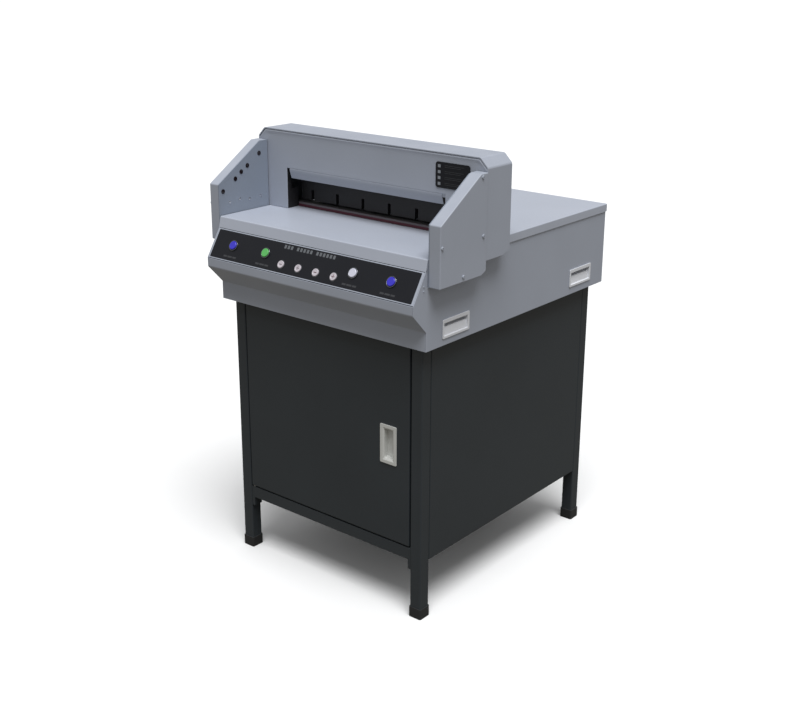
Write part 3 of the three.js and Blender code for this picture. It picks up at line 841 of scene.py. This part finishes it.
# a cross-recessed pan head, facing +Z at the origin
def screwHead(name, radius=0.0038, height=0.0018):
    piece = disc(name, (0, 0, height / 2), radius, height, sides=20)
    openEdit(piece)
    pickFaces(piece, lambda p, n: n.z > 0.9)
    insetBy(radius * 0.22, radius * 0.16)
    closeEdit()
    for width, length in ((0.2, 0.95), (0.95, 0.2)):
        halfX, halfY = radius * width / 2 * 1.1, radius * length / 2 * 1.1
        subtract(piece, block("recessCutter", (-halfX, -halfY, height * 0.5),
                              (halfX, halfY, height * 2)))
    shade(piece, 30)
    return piece


masterScrew = screwHead("masterScrew")


def addScrew(name, point, facing, material=chromeTrim, scale=1.0):
    turn = Vector((0, 0, 1)).rotation_difference(Vector(facing)).to_matrix().to_4x4()
    place = Matrix.Translation(point) @ turn @ Matrix.Scale(scale, 4)
    seat(movedCopy(masterScrew, name, place), material)


def makeGuardDetails(tag, side):
    low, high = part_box("guard_" + tag)
    outer = high.x if side > 0 else low.x
    for i, (y, z) in enumerate(guardScrews):
        addScrew("guard_screw_%s_%d" % (tag, i + 1), (outer, lowerFrontY + y, z), (side, 0, 0),
                 headPaint)
    plateLow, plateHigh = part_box("light_curtain_" + tag)
    face = plateLow.x if side > 0 else plateHigh.x
    turn = (0, -side * math.pi / 2, 0)
    inwards = lambda p, n: n.x * -side > 0.9
    rings = []
    for y, z in sensorSpots:
        ring = disc("sensorRing", (face - side * sensor["high"] / 2, lowerFrontY + y, z),
                    sensor["radius"], sensor["high"], turn, 28)
        openEdit(ring)
        pickFaces(ring, inwards)
        insetBy(sensor["rim"])
        extrudeBy((side * sensor["well"], 0, 0))
        insetBy(sensor["lens"], sensor["lensUp"])
        closeEdit()
        shade(ring, 30)
        rings.append(ring)
    lenses = joined("sensor_lenses_" + tag, rings)
    outwards(lenses)
    seat(lenses, lensPlastic)
    marks = []
    for y, z in rivetSpots:
        mark = disc("plugMark", (face - side * rivet["high"] / 2, lowerFrontY + y, z),
                    rivet["radius"], rivet["high"], turn, 20)
        openEdit(mark)
        pickFaces(mark, inwards)
        insetBy(rivet["rim"], rivet["crown"])
        closeEdit()
        marks.append(mark)
    plugs = joined("guard_rivets_" + tag, marks)
    outwards(plugs)
    shade(plugs, 30)
    seat(plugs, chromeTrim)


for tag, side in flanks:
    makeGuard(tag, side)
    makeGuardDetails(tag, side)
print("guards made")


# gantry
gantry = {"chamfer": 0.020, "chamferLess": 0.001, "flangeX": 0.3046, "gap": 0.0002,
          "sheet": 0.0024, "bend": 0.003, "heelY": 0.213, "heelZ": 0.820, "heelBelow": 0.95,
          "throatLeft": -0.2454, "throatRight": 0.2234, "columnFoot": 0.8404, "rearFoot": 0.824,
          "frontNotch": 0.937, "rearNotch": 0.915,
          "lipFold": 0.932, "lipRun": 0.0062, "lipBend": 0.0036}


def makeHood():
    low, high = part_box("gantry_hood")
    chamfer, flangeX = gantry["chamfer"], gantry["flangeX"]
    piece = flatSheet("gantry_hood_shell", (low.x + chamfer, low.y, high.z),
                      (high.x - chamfer, high.y, high.z))
    openEdit(piece)
    for side in (-1, 1):
        pickEdges(piece, lambda p, d: p.x * side > high.x - chamfer - 1e-4)
        extrudeBy((side * chamfer, 0, -chamfer))
        extrudeBy((0, 0, low.z - (high.z - chamfer)))
        extrudeBy((-side * (high.x - flangeX), 0, 0))
    roundEdges(piece, lambda p, d: abs(d.y) > 0.9 and abs(p.x) > flangeX + 1e-3, gantry["bend"], 4)
    heelY = lowerFrontY + gantry["heelY"]
    trimBeyond(piece, (0, heelY, low.z - 1e-4), (0, gantry["heelZ"] - low.z, heelY - high.y),
               lambda p, n: p.z < gantry["heelBelow"])
    finishSheet(piece, gantry["sheet"], headPaint, "gantry_hood")


rim = {"edge": 0.0035, "fade": 0.012, "proud": 0.0019}


# a low crown along the plate's top and chamfered corners, just inside its edge
def crownRim(piece, high, cut):
    diagonal = math.sqrt(2)
    for inset in (rim["edge"], rim["fade"]):
        cutAcross(piece, 2, high.z - inset)
        for side in (-1, 1):
            cutAt(piece, (side * (high.x - cut), 0, high.z - inset * diagonal), (side, 0, 1))
    mesh = freshPick(piece, "VERT")
    for corner in mesh.verts:
        x, z = abs(corner.co.x), corner.co.z
        inside = min(high.z - z, (high.x - cut + high.z - x - z) / diagonal)
        corner.select_set(abs(inside - rim["edge"]) < 1e-5)
    mesh.select_flush_mode()
    bmesh.update_edit_mesh(piece.data)
    shiftBy((0, -rim["proud"], 0))


def gantryPlate(name, nodeName, notchTop, facing):
    low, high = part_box(nodeName)
    surface = low.y if facing > 0 else high.y
    piece = flatSheet(name, (low.x, surface, low.z), (high.x, surface, high.z), facing)
    cut = gantry["chamfer"] - gantry["chamferLess"]
    left, right = gantry["throatLeft"], gantry["throatRight"]
    foot, flangeX = gantry["columnFoot"], gantry["flangeX"]
    openEdit(piece)
    for side in (-1, 1):
        trimBeyond(piece, (side * (high.x - cut), 0, high.z), (side, 0, 1))
    for x in (-flangeX - gantry["gap"], left, right, flangeX + gantry["gap"]):
        cutAcross(piece, 0, x)
    cutAcross(piece, 2, foot)
    cutAcross(piece, 2, notchTop)
    removeFaces(piece, lambda p, n: left < p.x < right and p.z < notchTop)
    removeFaces(piece, lambda p, n: abs(p.x) < flangeX and p.z < foot)
    if facing < 0:
        cutAcross(piece, 2, gantry["rearFoot"])
        removeFaces(piece, lambda p, n: p.z < gantry["rearFoot"])
    else:
        crownRim(piece, high, cut)
    bpy.ops.mesh.select_all(action="SELECT")
    bpy.ops.mesh.remove_doubles(threshold=1e-6)
    finishSheet(piece, gantry["sheet"], headPaint, nodeName, 0.0011, 3)


def makeFrontLip():
    low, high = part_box("front_lip")
    foldZ = gantry["lipFold"]
    piece = flatSheet("front_lip_fold", (low.x, low.y, foldZ), (high.x, low.y, high.z))
    openEdit(piece)
    pickEdges(piece, lambda p, d: p.z < foldZ + 1e-4)
    extrudeBy((0, gantry["lipRun"], low.z - foldZ))
    roundEdges(piece, lambda p, d: abs(d.x) > 0.9 and abs(p.z - foldZ) < 1e-4, gantry["lipBend"], 3)
    finishSheet(piece, gantry["sheet"], headPaint, "front_lip")


display = {"x0": 0.198, "x1": 0.288, "z0": 0.950, "z1": 1.005, "proud": 0.0016, "sunk": 0.0004,
           "corner": 0.006, "frame": (0.0014, -0.0003), "rows": 4, "print": 0.0002,
           "columns": (0.006, 0.013, 0.024), "iconHalf": 0.0032, "lineUp": 0.0016,
           "lineStep": 0.0036, "lineThick": 0.0009, "lineLengths": (0.050, 0.042)}


def makeDisplayPlate():
    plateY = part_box("front_plate")[0].y
    left, right, foot, top = (display[key] for key in ("x0", "x1", "z0", "z1"))
    piece = block("info_plate", (left, plateY - display["proud"], foot),
                  (right, plateY + display["sunk"], top))
    openEdit(piece)
    roundEdges(piece, lambda p, n: abs(n.y) > 0.9, display["corner"], 4)
    pickFaces(piece, lambda p, n: n.y < -0.9)
    insetBy(*display["frame"])
    closeEdit()
    shade(piece, 30)
    seat(piece, panelFilm)
    icons, lines = [], []
    step = (top - foot) / (display["rows"] + 0.4)
    face = plateY - display["proud"] + 0.0001
    half, thick = display["iconHalf"], display["lineThick"]
    iconLeft, iconRight, lineLeft = (left + x for x in display["columns"])
    rise = (0, -display["print"], 0)
    for row in range(display["rows"]):
        z = top - step * (row + 0.7)
        icons.append(printedBar("iconMark", (iconLeft, face, z - half),
                                (iconRight, face, z + half), rise))
        for i, length in enumerate(display["lineLengths"]):
            bar = z + display["lineUp"] - i * display["lineStep"]
            lines.append(printedBar("lineMark", (lineLeft, face, bar),
                                    (lineLeft + length, face, bar + thick), rise))
    seat(joined("info_icons", icons), iconInk)
    seat(joined("info_lines", lines), faintInk)


makeHood()
gantryPlate("gantry_front_plate", "front_plate", gantry["frontNotch"], 1)
gantryPlate("gantry_rear_plate", "gantry_rear_cover", gantry["rearNotch"], -1)
makeFrontLip()
makeDisplayPlate()
print("gantry made")


# control panel, worked in its own plane: X across, Y up the slope, Z out
panel = {"buttonRow": 0.039, "keyRow": 0.022, "thick": 0.003, "margin": 0.0009, "gap": 0.0004,
         "bezel": 0.0125, "collar": 0.0016, "cap": 0.010, "capTop": 0.005, "capFoot": -0.008,
         "key": 0.0086, "keyTop": 0.0026, "keyFoot": -0.006, "keyPitch": 0.0518, "film": 0.0004,
         "filmLow": (-0.2975, 0.0034), "filmHigh": (0.2965, 0.0708), "filmCorner": 0.002}
slopeRun = fascia["noseOut"] + housing["slopeTop"][0]
slopeRise = housing["slopeTop"][1] - housing["noseHigh"]
slopeLength = math.hypot(slopeRise, slopeRun)
toSlope = (Matrix.Translation((0, cadBounds[0][1], housing["noseHigh"]))
           @ Matrix.Rotation(math.atan2(slopeRise, slopeRun), 4, "X"))
bigButtons = {"button_forward": (-0.236, blueCap), "button_start": (-0.133, greenCap),
              "button_clamp": (0.126, whiteCap), "button_cut": (0.2305, blueCap)}
keyPlaces = [(i - 1.5) * panel["keyPitch"] for i in range(4)]
openings = ([(x, panel["buttonRow"], panel["cap"]) for x, _ in bigButtons.values()]
            + [(x, panel["keyRow"], panel["key"]) for x in keyPlaces])


# cuts the eight button holes right through
def drillHoles(piece):
    for x, y, radius in openings:
        subtract(piece, disc("hole", (x, y, 0), radius + panel["gap"], 0.02, sides=48))


def makePanel():
    half, thick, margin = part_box("control_panel")[1].x, panel["thick"], panel["margin"]
    plate = block("control_panel_plate", (-half, margin, -thick), (half, slopeLength - margin, 0))
    drillHoles(plate)
    soften(plate, 0.0006, 3, 40)
    plate.data.transform(toSlope)
    seat(plate, headPaint, "control_panel")
    film = block("control_panel_film", (*panel["filmLow"], -0.0001),
                 (*panel["filmHigh"], panel["film"]))
    openEdit(film)
    roundEdges(film, lambda p, d: abs(d.z) > 0.9, panel["filmCorner"], 4)
    closeEdit()
    drillHoles(film)
    shade(film, 30)
    film.data.transform(toSlope)
    seat(film, panelFilm)


def makeBezels():
    rings = []
    for x, y, radius in openings:
        big = y == panel["buttonRow"]
        middle, width, thick, sides = ((0.0016, panel["bezel"], 0.003, 48) if big
                                       else (0.0004, radius + panel["collar"], 0.0007, 40))
        ring = disc("bezel", (x, y, middle), width, thick, sides=sides)
        subtract(ring, disc("hole", (x, y, 0), radius + 0.0005, 0.02, sides=sides))
        if big:
            soften(ring, 0.0007, 3, 40)
        rings.append(ring)
    bezels = joined("button_bezels", rings)
    bezels.data.transform(toSlope)
    shade(bezels, 35)
    seat(bezels, bezelMetal)


def makeCap(name, x, y, radius, top, bottom, material):
    cap = disc(name + "_cap", (x, y, (top + bottom) / 2), radius, top - bottom, sides=48)
    openEdit(cap)
    roundEdges(cap, lambda p, d: p.z > top - 1e-5, min(0.0016, top * 0.35), 3)
    pickFaces(cap, lambda p, n: p.z > top - 1e-5 and n.z > 0.99)
    insetBy(radius * 0.18)
    insetBy(radius * 0.06, -0.0004)
    closeEdit()
    cap.data.transform(toSlope)
    shade(cap, 35)
    seat(cap, material, name, body=name + "_body")


printed = {"labels": ((-0.020, 0.011), (-0.007, 0.014), (0.009, 0.011)),
           "labelRow": (0.0100, 0.0140), "words": (3, 5, 6), "titleStart": -0.086,
           "titleRow": (0.0590, 0.0672), "stroke": 0.0062, "strokeStep": 0.0098, "wordGap": 0.0085}
keyMark = {"half": 0.0044, "thin": 0.0009, "sunk": 0.0006}


def slopeBar(x0, x1, y0, y1, z):
    return printedBar("mark", (x0, y0, z), (x1, y1, z), (0, 0, 0.0002))


def slopeMarks(name, bars, material, body="frame"):
    marks = joined(name, bars)
    marks.data.transform(toSlope)
    seat(marks, material, body=body)


def makePanelMarks():
    face = panel["film"] - 0.0001
    labels = [slopeBar(x + start, x + start + length, *printed["labelRow"], face)
              for x, _ in bigButtons.values() for start, length in printed["labels"]]
    slopeMarks("panel_labels", labels, faintInk)
    strokes = []
    start = printed["titleStart"]
    for word in printed["words"]:
        for _ in range(word):
            strokes.append(slopeBar(start, start + printed["stroke"], *printed["titleRow"], face))
            start += printed["strokeStep"]
        start += printed["wordGap"]
    slopeMarks("panel_title", strokes, titleInk)


def makeKeyMarks():
    top, y = panel["keyTop"] - keyMark["sunk"], panel["keyRow"]
    long, thin = keyMark["half"], keyMark["thin"]
    for i, x in enumerate(keyPlaces):
        bars = [slopeBar(x - long, x + long, y - thin, y + thin, top)]
        if i % 2 == 1:
            bars.append(slopeBar(x - thin, x + thin, y - long, y + long, top))
        slopeMarks("key_%d_mark" % (i + 1), bars, redInk, "key_%d_body" % (i + 1))


makePanel()
makeBezels()
for buttonName, (buttonX, buttonMaterial) in bigButtons.items():
    makeCap(buttonName, buttonX, panel["buttonRow"], panel["cap"], panel["capTop"],
            panel["capFoot"], buttonMaterial)
for keyIndex, keyX in enumerate(keyPlaces):
    makeCap("key_%d" % (keyIndex + 1), keyX, panel["keyRow"], panel["key"], panel["keyTop"],
            panel["keyFoot"], keyCapPlastic)
makePanelMarks()
makeKeyMarks()
print("panel made")


# cutting stick
def makeStick():
    piece = block("cutting_stick_bar", *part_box("cutting_stick"))
    openEdit(piece)
    pickFaces(piece, lambda p, n: n.y < -0.9)
    insetBy(stick["groove"], -stick["grooveDeep"])
    closeEdit()
    soften(piece, 0.0004)
    seat(piece, stickPlastic, "cutting_stick")


makeStick()


# cabinet
cabinet = {"tubeRadius": 0.003, "tubeWall": 0.002, "tubeMouth": 0.012, "capRadius": 0.004,
           "capWall": 0.0016, "capFloor": 0.004, "capFoot": 0.0012, "capMouth": (0.0160, 0.0006),
           "sheet": 0.0018, "bend": 0.0022}
door = {"foot": 0.171, "top": 0.640, "pullLap": 0.0004, "pinX": -0.244, "pinBack": 0.024,
        "pinRadius": 0.003, "pins": {"lower": (0.160, 0.172), "upper": (0.639, 0.646)}}
rail = {"barFoot": 0.139, "ear": 0.008, "holeZ": 0.1625, "holeRadius": 0.0034, "holeDeep": 0.011}
hingeLine = (door["pinX"], lowerFrontY + door["pinBack"])


def makeLeg(place):
    piece = block("leg_tube_" + place, *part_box("leg_" + place))
    openEdit(piece)
    roundEdges(piece, lambda p, d: abs(d.z) > 0.9, cabinet["tubeRadius"], 4)
    pickFaces(piece, lambda p, n: abs(n.z) > 0.9)
    bpy.ops.mesh.inset(thickness=cabinet["tubeWall"], depth=-cabinet["tubeMouth"],
                       use_individual=True)
    closeEdit()
    shade(piece, 30)
    seat(piece, cabinetPaint, "leg_" + place)


def makeFootCap(place):
    low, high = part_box("foot_cap_" + place)
    middle = (low + high) / 2
    mouthHalf, mouthRound = cabinet["capMouth"]
    piece = block("foot_boot_" + place, low, high)
    openEdit(piece)
    roundEdges(piece, lambda p, d: abs(d.z) > 0.9, cabinet["capRadius"], 4)
    pickFaces(piece, lambda p, n: n.z > 0.9)
    insetBy(cabinet["capWall"])
    extrudeBy((0, 0, low.z + cabinet["capFloor"] - high.z))
    roundEdges(piece, lambda p, d: p.z < low.z + 1e-4 and abs(d.z) < 0.1, cabinet["capFoot"], 2)
    roundEdges(piece, lambda p, d: p.z > high.z - 1e-4 and abs(d.z) < 0.1
               and max(abs(p.x - middle.x), abs(p.y - middle.y)) > mouthHalf, mouthRound, 2)
    closeEdit()
    shade(piece, 35)
    seat(piece, blackPlastic, "foot_cap_" + place)


# a shallow pan: skin on the outer face, flanges turned in all round
def makePan(name, nodeName, axis, side, body="frame", box=None, hole=None):
    low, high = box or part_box(nodeName)
    skinLow, skinHigh = Vector(low), Vector(high)
    surface = high[axis] if side > 0 else low[axis]
    skinLow[axis] = skinHigh[axis] = surface
    depth = high[axis] - low[axis]
    piece = flatSheet(name, skinLow, skinHigh, side if axis != 1 else -side)
    move = Vector((0, 0, 0))
    move[axis] = -side * depth
    openEdit(piece)
    pickFaces(piece, everywhere)
    extrudeBy(move)
    faceOutwards()
    removeFaces(piece, lambda p, n: abs(p[axis] - surface) > depth * 0.9)
    roundEdges(piece, lambda p, d: abs(p[axis] - surface) < depth * 0.6, cabinet["bend"], 3)
    if hole:
        cutWindow(piece, (0, 2), *hole, lambda p, n: abs(p[axis] - surface) < 1e-4)
    closeEdit()
    thicken(piece, cabinet["sheet"])
    outwards(piece)
    soften(piece, 0.0004, 2, 40)
    seat(piece, cabinetPaint, nodeName, body=body)


def makeDoor():
    low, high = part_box("door")
    a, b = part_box("door_pull")
    lap = cups["pull"]["rim"] - door["pullLap"]
    # without the hinge pins
    box = (Vector((low.x, low.y, door["foot"])), Vector((high.x, high.y, door["top"])))
    makePan("door_pan", "door", 1, -1, "door", box,
            ((a.x + lap, a.z + lap), (b.x - lap, b.z - lap)))
    for name, (z0, z1) in door["pins"].items():
        pin = disc("door_pin_" + name, (*hingeLine, (z0 + z1) / 2), door["pinRadius"], z1 - z0,
                   sides=24)
        soften(pin, 0.0005, 2, 40)
        seat(pin, turnedSteel, body="door")


def makeRail():
    low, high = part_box("cabinet_rail")
    foot, earX = rail["barFoot"], high.x - rail["ear"]
    piece = block("cabinet_rail_bar", (low.x, low.y, foot), high)
    openEdit(piece)
    for side in (-1, 1):
        cutAcross(piece, 0, side * earX)
    pickFaces(piece, lambda p, n: n.z < -0.9 and abs(p.x) > earX)
    extrudeBy((0, 0, low.z - foot))
    closeEdit()
    subtract(piece, disc("hole", (*hingeLine, rail["holeZ"]), rail["holeRadius"], rail["holeDeep"],
                         sides=24))
    soften(piece, 0.0012, 3, 40)
    seat(piece, cabinetPaint, "cabinet_rail")


for place in ("front_left", "front_right", "rear_left", "rear_right"):
    makeLeg(place)
    makeFootCap(place)
makePan("cabinet_panel_left", "cabinet_side_left", 0, -1)
makePan("cabinet_panel_right", "cabinet_side_right", 0, 1)
makePan("cabinet_panel_back", "cabinet_back", 1, 1)
makeDoor()
makeRail()
print("cabinet made")


# power inlet: hooded shell with three pins
inlet = {"corner": 0.003, "wall": 0.006, "well": 0.018, "pinHalf": (0.001, 0.002),
         "pins": ((-0.0055, -0.002), (0, 0.002), (0.0055, -0.002)), "pinRoot": 0.0185,
         "pinTip": 0.004}


def makeInlet():
    low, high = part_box("power_inlet")
    piece = block("power_inlet_shell", low, high)
    openEdit(piece)
    roundEdges(piece, lambda p, d: abs(d.y) > 0.9, inlet["corner"], 3)
    pickFaces(piece, lambda p, n: n.y > 0.9)
    insetBy(inlet["wall"])
    extrudeBy((0, -inlet["well"], 0))
    closeEdit()
    soften(piece, 0.0003, 2, 40)
    seat(piece, blackPlastic, "power_inlet")
    pins = []
    midX, midZ = (low.x + high.x) / 2, (low.z + high.z) / 2
    halfX, halfZ = inlet["pinHalf"]
    for x, z in inlet["pins"]:
        pin = block("inletPin", (midX + x - halfX, high.y - inlet["pinRoot"], midZ + z - halfZ),
                    (midX + x + halfX, high.y - inlet["pinTip"], midZ + z + halfZ))
        soften(pin, 0.0004, 2)
        pins.append(pin)
    seat(joined("inlet_pins", pins), chromeTrim)


rear = {"louvreSize": (0.070, 0.0018, 0.006), "louvrePitch": 0.013, "louvreFoot": 0.700,
        "louvreCount": 6, "louvreColumns": (0.040, 0.130), "plateScrewX": (-0.318, 0.0, 0.318),
        "plateScrewZ": (0.838, 1.008), "panelScrewX": 0.288, "panelScrewZ": (0.657, 0.808),
        "backScrewX": 0.240, "backScrewZ": (0.152, 0.628)}


# pressed vent louvres: a wedge that opens downwards, modelled once
def makeLouvres():
    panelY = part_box("rear_panel")[1].y
    width, depth, height = rear["louvreSize"]
    master = block("louvreMaster", (-width / 2, 0, 0), (width / 2, depth, height))
    openEdit(master)
    pickEdges(master, lambda p, d: p.y > depth * 0.9 and p.z > height * 0.9 and abs(d.x) > 0.9)
    shiftBy((0, 0.0002 - depth, 0))
    pickEdges(master, lambda p, d: p.y > depth * 0.9 and abs(d.x) < 0.1)
    bpy.ops.mesh.bevel(offset=depth * 0.8, segments=3, affect="EDGES")
    closeEdit()
    shade(master, 35)
    parts = []
    for column in rear["louvreColumns"]:
        for row in range(rear["louvreCount"]):
            spot = (column, panelY - 0.0001, rear["louvreFoot"] + row * rear["louvrePitch"])
            parts.append(movedCopy(master, "louvre", Matrix.Translation(spot)))
    bpy.data.objects.remove(master)
    louvres = joined("rear_louvres", parts)
    outwards(louvres)
    seat(louvres, headPaint)


def makeRearScrews():
    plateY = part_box("gantry_rear_cover")[1].y
    for i, x in enumerate(rear["plateScrewX"]):
        for j, z in enumerate(rear["plateScrewZ"]):
            if x or j:
                addScrew("rear_plate_screw_%d_%d" % (i + 1, j + 1), (x, plateY, z), (0, 1, 0))
    panelY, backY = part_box("rear_panel")[1].y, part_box("cabinet_back")[1].y
    for tag, side in flanks:
        for j in range(2):
            ending = "%s_%d" % (tag, j + 1)
            panelSpot = (side * rear["panelScrewX"], panelY, rear["panelScrewZ"][j])
            addScrew("rear_panel_screw_" + ending, panelSpot, (0, 1, 0))
            backSpot = (side * rear["backScrewX"], backY, rear["backScrewZ"][j])
            addScrew("cabinet_back_screw_" + ending, backSpot, (0, 1, 0), blackPaint)


makeInlet()
makeLouvres()
makeRearScrews()
noseScrews = {"y": -0.009, "heights": (0.786, 0.776), "scale": 0.5}
for tag, side in flanks:
    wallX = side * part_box("housing_side_right")[1].x
    for index, z in enumerate(noseScrews["heights"]):
        addScrew("nose_screw_%s_%d" % (tag, index + 1), (wallX, lowerFrontY + noseScrews["y"], z),
                 (side, 0, 0), headPaint, noseScrews["scale"])
bpy.data.objects.remove(masterScrew)
print("details made")


# floor, light and camera
studio = {"sky": 0.39, "sun": 2.85, "sunSpread": 34, "sunFrom": (0.31, -0.25, 1.0)}


def makeFloor():
    clearAll()
    bpy.ops.mesh.primitive_plane_add(size=60, location=(0, 0, 0))
    floor = bpy.context.object
    floor.name = "studio_floor"
    material, tree, shader = newMaterial("floorPaper")
    cloud = noiseAt(tree, ownPlace(tree), 3.0, 3.0)
    paper = blend(tree, cloud, rgba(colours["floor"]), rgba(colours["floor"], 0.98))
    seen = addNode(tree, "LightPath").outputs["Is Camera Ray"]
    feed(tree, blend(tree, seen, rgba(colours["floorBounce"]), paper), shader["Base Color"])
    shader["Roughness"].default_value = 0.9
    shader["Specular IOR Level"].default_value = 0.1
    floor.data.materials.append(material)


def makeStudio():
    world = bpy.data.worlds.new("studio")
    bpy.context.scene.world = world
    world.use_nodes = True
    tree = world.node_tree
    sky = tree.nodes["Background"].inputs
    sky["Color"].default_value = (1, 1, 1, 1)
    seen = addNode(tree, "LightPath").outputs["Is Camera Ray"]
    feed(tree, ramp(tree, seen, 0, 1, studio["sky"], 1.0), sky["Strength"])
    bpy.ops.object.light_add(type="SUN", location=studio["sunFrom"])
    lamp = bpy.context.object
    lamp.name = "softKey"
    lamp.data.energy = studio["sun"]
    lamp.data.angle = math.radians(studio["sunSpread"])
    lamp.rotation_euler = Vector(studio["sunFrom"]).to_track_quat("Z", "Y").to_euler()
    bpy.context.scene.view_settings.view_transform = "Standard"


def makeCamera():
    clearAll()
    bpy.ops.object.camera_add()
    eye = bpy.context.object
    eye.name = "viewCamera"
    turn = (Matrix.Rotation(math.radians(camera["azimuth"]), 4, "Z")
            @ Matrix.Rotation(math.radians(90 - camera["elevation"]), 4, "X")
            @ Matrix.Rotation(math.radians(camera["roll"]), 4, "Z"))
    eye.matrix_world = Matrix.Translation(camera["place"]) @ turn
    eye.data.lens = camera["lens"]
    eye.data.shift_x, eye.data.shift_y = camera["shift"]
    eye.data.clip_end = 50
    bpy.context.scene.camera = eye


makeFloor()
makeStudio()
makeCamera()
print("studio made")
